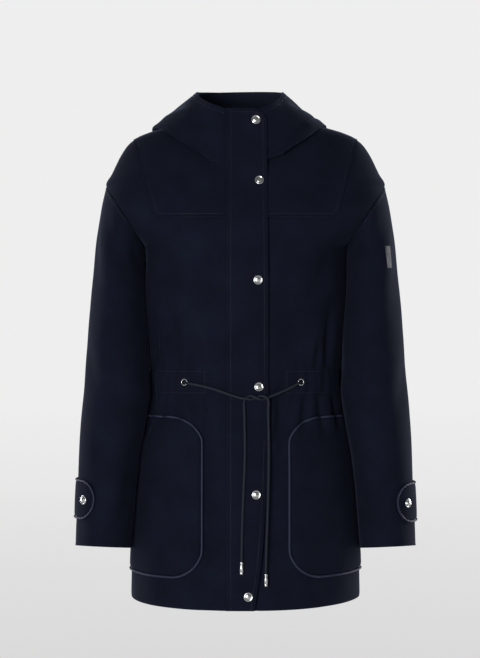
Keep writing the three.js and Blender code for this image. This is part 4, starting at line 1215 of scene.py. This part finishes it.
placket_across = np.concatenate([[0, 0.012, 0.035], np.linspace(0.07, 0.93, 16),
                                 [0.965, 0.985, 0.996, 0.9995]])
placket_ups = np.concatenate([[0, 0.0015, 0.004], np.linspace(0.008, 0.992, 240),
                              [0.996, 0.9985, 1]])
panels["placket"] = shell(
    "panel_placket", placket_point, placket_across, placket_ups, (0.4, 0.4, OUTWARD),
    placket_fold, high=PLACKET_LAY + CLOTH, low=PLACKET_LAY, step=(1e-3, 1e-3))

# %% [markdown]
# ## Patch pockets and their piping
#
# Each pocket is a large patch with round inner corners. It starts near the placket and is caught
# in the side seam. Piping, a thin cord wrapped in tape, runs round its open outline. It is the
# lightest line on the coat, so it has to follow the pocket's edge exactly: both are made from the
# same two functions.

# %% Pocket shapes
POCKET_INNER_X, POCKET_TOP_Z, POCKET_LOW_Z, POCKET_LAY = 68.5, -461, -709, 1.2
TOP_CORNER, LOW_CORNER = (62, 42), (50, 47)  # how wide and tall the round corners are
PIPING = 4


def pocket_span(x, inset=0.0):
    """Heights of the upper and the lower edge of a pocket, `x` out from the centre."""
    def corner(size):
        wide, tall = size
        past = np.clip((x - POCKET_INNER_X - inset) / (wide - inset), 0, 1)
        return (tall - inset) * (1 - np.sqrt(np.clip(1 - (1 - past) ** 2, 0, 1)))
    return (POCKET_TOP_Z - inset - corner(TOP_CORNER), POCKET_LOW_Z + inset + corner(LOW_CORNER))


def pocket_surface(sign, inset=0.0):
    def point(across, z):
        ring = ring_at(z, True)
        inner = ring_angle(POCKET_INNER_X + inset + 0 * z, ring)
        return ring_point(sign, True, z, ring, inner + (math.pi / 2 - inner) * across)
    return point


def pocket_x(across, inset=0.0):
    middle = np.full(np.shape(across), (POCKET_TOP_Z + POCKET_LOW_Z) / 2)
    return pocket_surface(1, inset)(across, middle)[..., 0]


def pocket_patch(sign, inset):
    surface = pocket_surface(sign, inset)

    def point(across, up):
        share = np.clip(across, 0, 1)
        top, low = pocket_span(pocket_x(share, inset), inset)
        return surface(share, low + (top - low) * np.clip(up, 0, 1))
    return point


def pocket_fold(rows):
    """The folds of the front below, and a slight fullness of the patch itself."""
    full = np.prod(np.sin(np.pi * np.clip(rows[:, 6:8], 0, 1)), axis=1)
    sag = 0.5 * np.sin(rows[:, 2] / 26 + rows[:, 0] / 30)
    return trunk_fold(rows) + full * (1.6 + sag)


pocket_across = np.concatenate([[0, 0.0012, 0.004, 0.009, 0.018, 0.03, 0.045],
                                np.linspace(0.062, 0.95, 40), [0.956, 0.96]])
pocket_ups = np.concatenate([[0, 0.003, 0.01], np.linspace(0.02, 0.98, 64), [0.99, 0.997, 1]])
for side, sign in SIDES.items():
    panels[f"pocket_{side}"] = shell(
        f"panel_pocket_{side}", pocket_patch(sign, PIPING * 0.65 + SEAM), pocket_across,
        pocket_ups, (0.3, 0.5, OUTWARD), pocket_fold, high=POCKET_LAY + CLOTH, low=POCKET_LAY,
        step=(1e-3, 1e-3), seam_press=0.6, seam_width=2.5)

# %% Pocket piping
PIPING_SHARES = [0.96, 0.82, 0.66, 0.52, 0.4, 0.3, 0.22, 0.15, 0.09, 0.045, 0.015, 0.001]
PIPING_DOWN = [-530, -575, -620]  # heights on the straight inner edge
THIN_END = 1.4  # the piping's radius shrinks by this much where it runs into the side seam
SUNK_END = 1.8  # and its middle comes this much closer to the cloth


def raised(surface, us, vs, outward, lift, fold, step):
    """Points of a surface lifted off it together with its folds, for what is sewn on it."""
    us, vs = np.asarray(us, float), np.asarray(vs, float)
    at, out = surface(us, vs), surface_normals(surface, us, vs, step)
    out = np.where((out @ np.asarray(outward, float) < 0)[:, None], -out, out)
    rows = np.concatenate([at, out, us[:, None], vs[:, None]], 1)
    height = lift + (fold(rows) if fold else np.zeros(len(rows)))
    return at + out * height[:, None], out


def thin_ends(_, place):
    return -THIN_END * bell(np.minimum(place, place.max() - place), 11)


piping = {}
for side, sign in SIDES.items():
    tops, lows = pocket_span(pocket_x(np.array(PIPING_SHARES)))
    shares = PIPING_SHARES + [0.0] * len(PIPING_DOWN) + PIPING_SHARES[::-1]
    heights = [*tops, *PIPING_DOWN, *lows[::-1]]
    table = np.column_stack([np.arange(len(shares)), shares, heights])
    steps = np.linspace(0, len(shares) - 1, 420)
    across, z = through(table, steps)
    lift = POCKET_LAY + PIPING / 2 - SUNK_END * bell(np.minimum(steps, steps[::-1]), 0.45)
    path, _ = raised(pocket_surface(sign), np.clip(across, 0, 1), z, OUTWARD, lift, trunk_fold,
                     (1e-3, 0.5))
    path, length = route(path, 1.6)
    piping[f"pocket_piping_{side}"] = tube(f"piping_pocket_{side}", path, PIPING / 2, 12,
                                           piping_tape, thin_ends)
    print(f"piping of the {side} pocket: {length:.0f} mm")

# %% [markdown]
# ## Cuff tabs
#
# A short strap lies round each cuff. It starts in the sleeve's back seam, its tip is round, and a
# snap holds it. Piping runs along both long edges and round the tip. The strap is stiffer than the
# sleeve, so it bridges the sleeve's folds instead of following them.

# %% Cuff tabs
TAB_HALF, TAB_TIP, TAB_SNAP, TAB_RADIUS, TAB_OFF = 30, 72, 51, 56, 2.1
TAB_Z = {"right": -593, "left": -598}
TAB_REACHES = [146, 122, 100, 80, 62, 45, 30, 22, 15, 9, 4.5, 1.4, 0.02]  # from the tip, in mm


def tab_half(from_tip, inset):
    half = TAB_HALF - inset
    past = np.clip(1 - from_tip / half, 0, 1)
    return half * np.sqrt(np.clip(1 - past * past, 0, 1))


def tab_point(side, inset=0.0):
    surface = sleeve_point(SIDES[side])

    def point(from_tip, up):
        from_tip = np.maximum(from_tip, 0.01)
        turn = math.radians(TAB_TIP) - (from_tip + inset) / TAB_RADIUS
        return surface(turn, sleeve_along(turn, TAB_Z[side] + up * tab_half(from_tip, inset)))
    return point


def tab_fold(rows):
    return 0.5 * np.sin(rows[:, 6] / 24 + 1.0) - 0.35 * rows[:, 7] ** 2


tab_across = np.concatenate([[0.05, 0.3, 0.9, 2, 3.5, 5.5, 8, 11], np.linspace(14, 143, 46),
                             [144.4, 145]])
tab_ups = np.concatenate([[-1, -0.98, -0.94], np.linspace(-0.88, 0.88, 18), [0.94, 0.98, 1]])
for side, sign in SIDES.items():
    panels[f"cuff_tab_{side}"] = shell(
        f"panel_cuff_tab_{side}", tab_point(side, PIPING * 0.5 + SEAM), tab_across, tab_ups,
        (60, 0, (sign, 0, 0)), tab_fold, high=TAB_OFF + CLOTH, low=TAB_OFF, step=(0.05, 0.02),
        seam_press=0.5, seam_width=2.2)
    reaches = np.array(TAB_REACHES + TAB_REACHES[-2::-1])
    ups = np.where(np.arange(len(reaches)) < len(TAB_REACHES), 1.0, -1.0)
    edge = tab_point(side)(reaches, ups)
    sleeve = sleeve_point(sign)
    turns = math.radians(TAB_TIP) - reaches / TAB_RADIUS
    rings = sleeve_along(turns, edge[:, 2])
    out = surface_normals(sleeve, turns, rings, SLEEVE_STEP)
    centre = (sleeve(turns + math.pi, rings) + sleeve(turns, rings)) / 2
    out = np.where((np.sum(out * (edge - centre), axis=1) > 0)[:, None], out, -out)
    path, _ = route(edge + out * (TAB_OFF + CLOTH / 2), 1.6)
    piping[f"cuff_tab_piping_{side}"] = tube(f"piping_cuff_tab_{side}", path, PIPING * 0.4, 12,
                                             piping_tape)

# %% [markdown]
# ## Snaps, eyelets and cord ends
#
# All of these are turned metal, so one profile spun round its axis makes each. The cap of a snap is
# a shallow dome inside a raised ring, 15 mm across. An eyelet is a rolled ring. A cord end is a
# small tube, crimped twice where it grips the cord. The caps are left bare.

# %% Turned metal
SNAPS = [(16.5, 16), (21.8, -83), (19.4, -242), (20.9, -412), (16.5, -582), (4, -734)]


def turned(name, profile, foot, out, segments=48):
    """A closed profile of (radius, height) spun round the direction `out`, from `foot`."""
    out = unit(np.asarray(out, float))
    side = unit(np.cross(out, [0.2, 0.3, 1.0]))
    up = np.cross(out, side)
    points = [foot + out * height + radius * (math.cos(angle) * side + math.sin(angle) * up)
              for radius, height in profile
              for angle in np.linspace(0, 2 * math.pi, segments, False)]
    piece = new_piece(name, points, grid_faces(len(profile), segments, True), nickel)
    weld(piece, 0.01)
    piece.data.set_sharp_from_angle(angle=math.radians(44))
    return piece


def dome(radius, height, base, steps=7):
    return [(radius * math.cos(t), base + height * math.sin(t))
            for t in np.linspace(0, math.pi / 2, steps)]


SNAP_CAP = [(0, 0), (6.9, 0), (7.3, 0.25), (7.5, 0.7), (7.35, 1.35), (6.9, 1.85), (6.3, 2.05),
            (5.7, 1.9), (5.25, 1.55), (4.95, 1.5), (4.75, 1.75), (4.5, 2.35),
            *dome(4.25, 0.75, 2.65)]
EYELET_RING = [(3.7, 0), (5.5, 0), (5.8, 0.25), (5.7, 0.7), (5.3, 1.1), (4.75, 1.3), (4.2, 1.15),
               (3.85, 0.75), (3.7, 0.3), (3.7, 0)]
CORD_TUBE = [(0, 0), (2.5, 0), (2.85, 0.2), (3.0, 0.7), (3.0, 2.6), (2.72, 3.1), (2.72, 3.7),
             (3.0, 4.2), (3.05, 9), (3.05, 15.2), (2.78, 15.8), (2.78, 16.4), (3.05, 17),
             (3.0, 18.9), (2.7, 19.35), (2.2, 19.5), (0, 19.5)]

metal = {}
for number, (x, z) in enumerate(SNAPS, 1):
    (foot,), (out,) = raised(placket_base, [x], [z], OUTWARD, PLACKET_LAY + CLOTH, placket_fold,
                             (0.5, 0.5))
    metal[f"snap_{number}"] = turned(f"cap_snap_{number}", SNAP_CAP, foot - out * 0.2, out)
for side, sign in SIDES.items():
    turn = np.array([math.radians(TAB_SNAP)])
    ring = sleeve_along(turn, np.array([float(TAB_Z[side])]))
    (foot,), (out,) = raised(sleeve_point(sign), turn, ring, (sign, 0, 0), TAB_OFF + CLOTH, None,
                             SLEEVE_STEP)
    metal[f"cuff_snap_{side}"] = turned(f"cap_cuff_snap_{side}", SNAP_CAP, foot - out * 0.1, out)
    x, z = EYELETS[side]
    (foot,), (out,) = raised(front_at, [x], [z], OUTWARD, 0.3, trunk_fold, (0.5, 0.5))
    metal[f"eyelet_{side}"] = turned(f"ring_eyelet_{side}", EYELET_RING, foot, out)
    path = cords[side][1]
    ahead = unit(path[-1] - path[-3])
    metal[f"cord_end_{side}"] = turned(f"tube_cord_end_{side}", CORD_TUBE,
                                       path[-1] + ahead * 0.25, ahead)
print(len(metal), "metal pieces")

# %% [markdown]
# ## Sleeve label
#
# A small woven tape is sewn to the left sleeve below the shoulder. It is left blank.

# %% Label
LABEL_FRONT, LABEL_BACK, LABEL_TOP_Z, LABEL_LOW_Z, LABEL_THICK = 60.5, 46, -186, -222, 0.8
LABEL_LAY = 0.5


def label_point(turn, z):
    return sleeve_point(1)(turn, sleeve_along(turn, z))


label_turns = np.radians(np.linspace(LABEL_BACK, LABEL_FRONT, 24))
panels["sleeve_label"] = shell(
    "tape_sleeve_label", label_point, label_turns, np.linspace(LABEL_LOW_Z, LABEL_TOP_Z, 30),
    (0.6, -200, (1, 0, 0)), sleeve_fold("left"), high=LABEL_LAY + LABEL_THICK, low=LABEL_LAY,
    step=(1e-3, 0.5), seam_press=0.15, seam_width=1.0, material=label_tape, edge=0.2)

# %% [markdown]
# ## Rows of stitches
#
# The coat is topstitched in navy thread: along both edges of the placket, above the yoke's
# seam, round the armholes and the hood's edge, and in two rows that hold the casing of the
# drawcord. The thread is a little paler than the wool, partly as a painted highlight: it also
# stands for the light that the raised seams catch. Nobody places two thousand stitches by hand.
# Each row is a bare line of points on the cloth, which also carry the direction out of it, and one
# Geometry Nodes tree sets a stitch at every step along the line. Real thread is 0.3 mm thick. It
# is drawn 0.6 mm thick, because a thinner one would not show from where the camera stands.

# %% The tree that sets stitches along a line
STITCH_NODES = {  # name, kind and settings
    "given": ("NodeGroupInput", {}), "made": ("NodeGroupOutput", {}),
    "curve": ("GeometryNodeMeshToCurve", {}), "ahead": ("GeometryNodeInputTangent", {}),
    "steps": ("GeometryNodeResampleCurve", {"mode": "LENGTH"}),
    "out": ("GeometryNodeInputNamedAttribute", {"data_type": "FLOAT_VECTOR"}),
    "lie": ("FunctionNodeAlignRotationToVector", {"axis": "X"}),
    "face_out": ("FunctionNodeAlignRotationToVector", {"axis": "Z", "pivot_axis": "X"}),
    "uneven": ("FunctionNodeRandomValue", {"data_type": "FLOAT"}),
    "size": ("ShaderNodeCombineXYZ", {}),
    "scaled": ("ShaderNodeVectorMath", {"operation": "SCALE"}),
    "stitch": ("GeometryNodeMeshUVSphere", {}), "set": ("GeometryNodeInstanceOnPoints", {}),
    "real": ("GeometryNodeRealizeInstances", {}), "thread": ("GeometryNodeSetMaterial", {}),
}
STITCH_VALUES = [  # node, input, value
    ("out", "Name", "out"), ("uneven", 2, 0.88), ("uneven", 3, 1.08), ("stitch", "Segments", 6),
    ("stitch", "Rings", 4), ("stitch", "Radius", 0.5),
]
STITCH_LINKS = [  # from a node's output to a node's input
    ("given", "Lines", "curve", "Mesh"), ("curve", "Curve", "steps", "Curve"),
    ("given", "Pitch", "steps", "Length"), ("steps", "Curve", "set", "Points"),
    ("stitch", "Mesh", "set", "Instance"), ("ahead", "Tangent", "lie", "Vector"),
    ("lie", "Rotation", "face_out", "Rotation"), ("out", "Attribute", "face_out", "Vector"),
    ("face_out", "Rotation", "set", "Rotation"), ("given", "Length", "size", "X"),
    ("given", "Thickness", "size", "Y"), ("given", "Thickness", "size", "Z"),
    ("size", "Vector", "scaled", "Vector"), ("given", "Seed", "uneven", "Seed"),
    ("uneven", 1, "scaled", "Scale"), ("scaled", "Vector", "set", "Scale"),
    ("set", "Instances", "real", "Geometry"), ("real", "Geometry", "thread", "Geometry"),
    ("given", "Thread", "thread", "Material"), ("thread", "Geometry", "made", "Stitches"),
]
STITCH_INPUTS = {
    "Lines": "Geometry", "Pitch": "Float", "Length": "Float", "Thickness": "Float", "Seed": "Int",
    "Thread": "Material",
}


def stitch_tree():
    tree = bpy.data.node_groups.new("stitches along lines", "GeometryNodeTree")
    tree.is_modifier = True
    for name, kind in STITCH_INPUTS.items():
        tree.interface.new_socket(name=name, in_out="INPUT", socket_type="NodeSocket" + kind)
    tree.interface.new_socket(name="Stitches", in_out="OUTPUT", socket_type="NodeSocketGeometry")
    nodes = {}
    for name, (kind, settings) in STITCH_NODES.items():
        nodes[name] = tree.nodes.new(kind)
        for key, value in settings.items():
            setattr(nodes[name], key, value)
    for name, socket, value in STITCH_VALUES:
        nodes[name].inputs[socket].default_value = value
    for start, output, end, socket in STITCH_LINKS:
        tree.links.new(nodes[start].outputs[output], nodes[end].inputs[socket])
    return tree


# %% Lines where the coat is stitched
STITCH_LIFT = 0.12  # the thread's middle stands this far off the cloth
FLAT_STEP = (0.5, 0.5)
stitch_lines = []


def stitch_along(surface, us, vs, outward, fold, step, lift=STITCH_LIFT):
    """Adds one row of stitches through the places (u, v) of a surface."""
    us, vs = np.broadcast_arrays(np.asarray(us, float), np.asarray(vs, float))
    stitch_lines.append(raised(surface, us, vs, outward, lift, fold, step))


def stitch_placket(xs, zs):
    stitch_along(placket_base, xs, zs, OUTWARD, placket_fold, FLAT_STEP,
                 PLACKET_LAY + CLOTH + STITCH_LIFT)


stitch_placket(PLACKET_OUTER_X + SEWN_STITCH, np.linspace(HEM_Z + 4, PLACKET_TOP_Z - 3, 240))
corner_z = PLACKET_TOP_Z - PLACKET_CORNER
heights = np.linspace(HEM_Z + 4, corner_z, 230)
turns = np.linspace(0, math.pi / 2, 24)
radius = PLACKET_CORNER - FREE_STITCH
corner_x = float(placket_edge(corner_z)) - PLACKET_CORNER
stitch_placket(
    np.concatenate([placket_edge(heights) - FREE_STITCH, corner_x + radius * np.cos(turns),
                    [PLACKET_OUTER_X + SEWN_STITCH]]),
    np.concatenate([heights, corner_z + radius * np.sin(turns), [corner_z + radius]]))

level = YOKE_LOW_Z + YOKE_STITCH
seam_x = YOKE_LOW_X - YOKE_STITCH * math.hypot(1, YOKE_SLOPE) + YOKE_SLOPE * YOKE_STITCH
climb = np.linspace(level + 6, -14, 40)
yoke_xs = np.concatenate([np.linspace(38, seam_x - 4, 44), seam_x + YOKE_SLOPE * (climb - level)])
yoke_zs = np.concatenate([np.full(44, level), climb])
for side, sign in SIDES.items():
    for z in (CASING_TOP, CASING_LOW):
        stitch_along(front_point(sign, CASING_START), np.linspace(0, 0.985, 60), z, OUTWARD,
                     trunk_fold, (1e-3, 0.4))
    stitch_along(front_at, sign * CASING_START, np.linspace(CASING_LOW, CASING_TOP, 12), OUTWARD,
                 trunk_fold, FLAT_STEP)
    stitch_along(front_at, sign * yoke_xs, yoke_zs, OUTWARD, yoke_fold, FLAT_STEP)
    stitch_along(sleeve_point(sign), np.linspace(0, 2 * math.pi, 160), 0.2, (0, 0, 1),
                 sleeve_fold(side), SLEEVE_STEP)
    stitch_along(hood_point(sign), np.linspace(26, 178, 150), HOOD_STITCH, (0, 0, 1),
                 hood_fold(side), HOOD_STEP)
for z in (CASING_TOP, CASING_LOW):
    stitch_along(back_point, np.linspace(-0.985, 0.985, 160), z, (0, 1, 0), trunk_fold,
                 (1e-3, 0.4))
print(len(stitch_lines), "rows of stitches")

# %% Set the stitches
STITCHES = {"Pitch": 3.4 * MM, "Length": 2.5 * MM, "Thickness": 0.6 * MM, "Seed": 7,
            "Thread": thread_and_seam_highlight}
places = np.vstack([line for line, _ in stitch_lines])
outs = np.vstack([out for _, out in stitch_lines]).astype(np.float32)
ends = np.cumsum([len(line) for line, _ in stitch_lines])
links = [(i, i + 1) for i in range(len(places) - 1) if i + 1 not in ends]
lines = bpy.data.meshes.new("stitch lines")
lines.from_pydata((places * MM).tolist(), links, [])
lines.attributes.new("out", "FLOAT_VECTOR", "POINT").data.foreach_set("vector", outs.ravel())
rows_of_thread = add_object("stitch lines", lines)
sewing = rows_of_thread.modifiers.new("stitches", "NODES")
sewing.node_group = stitch_tree()
for socket in sewing.node_group.interface.items_tree:
    if socket.in_out == "INPUT" and socket.name in STITCHES:
        sewing[socket.identifier] = STITCHES[socket.name]
seen = rows_of_thread.evaluated_get(bpy.context.evaluated_depsgraph_get())
stitch_mesh = bpy.data.meshes.new_from_object(seen)
stitch_mesh.name = "stitches"
stitch_mesh.materials.clear()  # the tree leaves an empty first slot
stitch_mesh.materials.append(thread_and_seam_highlight)
bpy.data.objects.remove(rows_of_thread)
stitches = add_object("stitches", stitch_mesh)
print(f"stitches: {len(stitch_mesh.polygons)} faces, material {stitch_mesh.materials[0].name}")

# %% [markdown]
# ## Each piece in place of its CAD part
#
# Every piece takes the place of a CAD node, whose own part is hidden, and rides on the one body.

def stands_for(piece, node):
    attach(piece, "root")
    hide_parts(node)


for node, piece in panels.items():
    stands_for(piece, node)
for node, piece in piping.items():
    stands_for(piece, node)
for node, piece in metal.items():
    stands_for(piece, node)
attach(stitches, "root")
for side, (piece, path, length) in cords.items():
    stands_for(piece, f"drawcord_{side}")

# %% [markdown]
# ## The cuts
#
# Every sewn panel is a sheet of cloth with a size it was cut to. Each row gives the smallest
# rectangle that holds the cut, its own area within that rectangle, how the cloth is held, and the
# pieces it lies on. These are the cuts of what shows, all round on a sleeve; seam and hem
# turnings come on top. The print compares each cut with half the surface of the finished piece,
# which counts both faces of the cloth.

CUTS = {  # width, length, area in square metres, how it is held, what it lies on or hangs from
    "front_right": (0.262, 0.77, 0.148, "hung", ("yoke_right",)),
    "front_left": (0.3, 0.77, 0.172, "hung", ("yoke_left",)),
    "yoke_right": (0.19, 0.185, 0.026, "hung", ("back",)),
    "yoke_left": (0.225, 0.185, 0.03, "hung", ("back",)),
    "back": (0.6, 0.83, 0.375, "hung", ()),
    "sleeve_right": (0.4, 0.61, 0.194, "hung", ("yoke_right", "back")),
    "sleeve_left": (0.4, 0.61, 0.194, "hung", ("yoke_left", "back")),
    "hood_right": (0.47, 0.42, 0.096, "folded", ("yoke_right", "back")),
    "hood_left": (0.44, 0.42, 0.08, "folded", ("yoke_left", "back")),
    "placket": (0.07, 0.8, 0.053, "laid", ("front_right", "front_left", "hood_left")),
    "pocket_right": (0.19, 0.258, 0.0433, "laid", ("front_right",)),
    "pocket_left": (0.19, 0.258, 0.0433, "laid", ("front_left",)),
    "cuff_tab_right": (0.15, 0.062, 0.0085, "laid", ("sleeve_right",)),
    "cuff_tab_left": (0.15, 0.062, 0.0085, "laid", ("sleeve_left",)),
    "sleeve_label": (0.016, 0.036, 0.00055, "laid", ("sleeve_left",)),
}
for node, (width, length, area, held, under) in CUTS.items():
    piece = panels[node]
    made = sum(polygon.area for polygon in piece.data.polygons) / 2
    print(f"{node}: {made:.4f} m2 made of a cut of {area:.4f} m2")
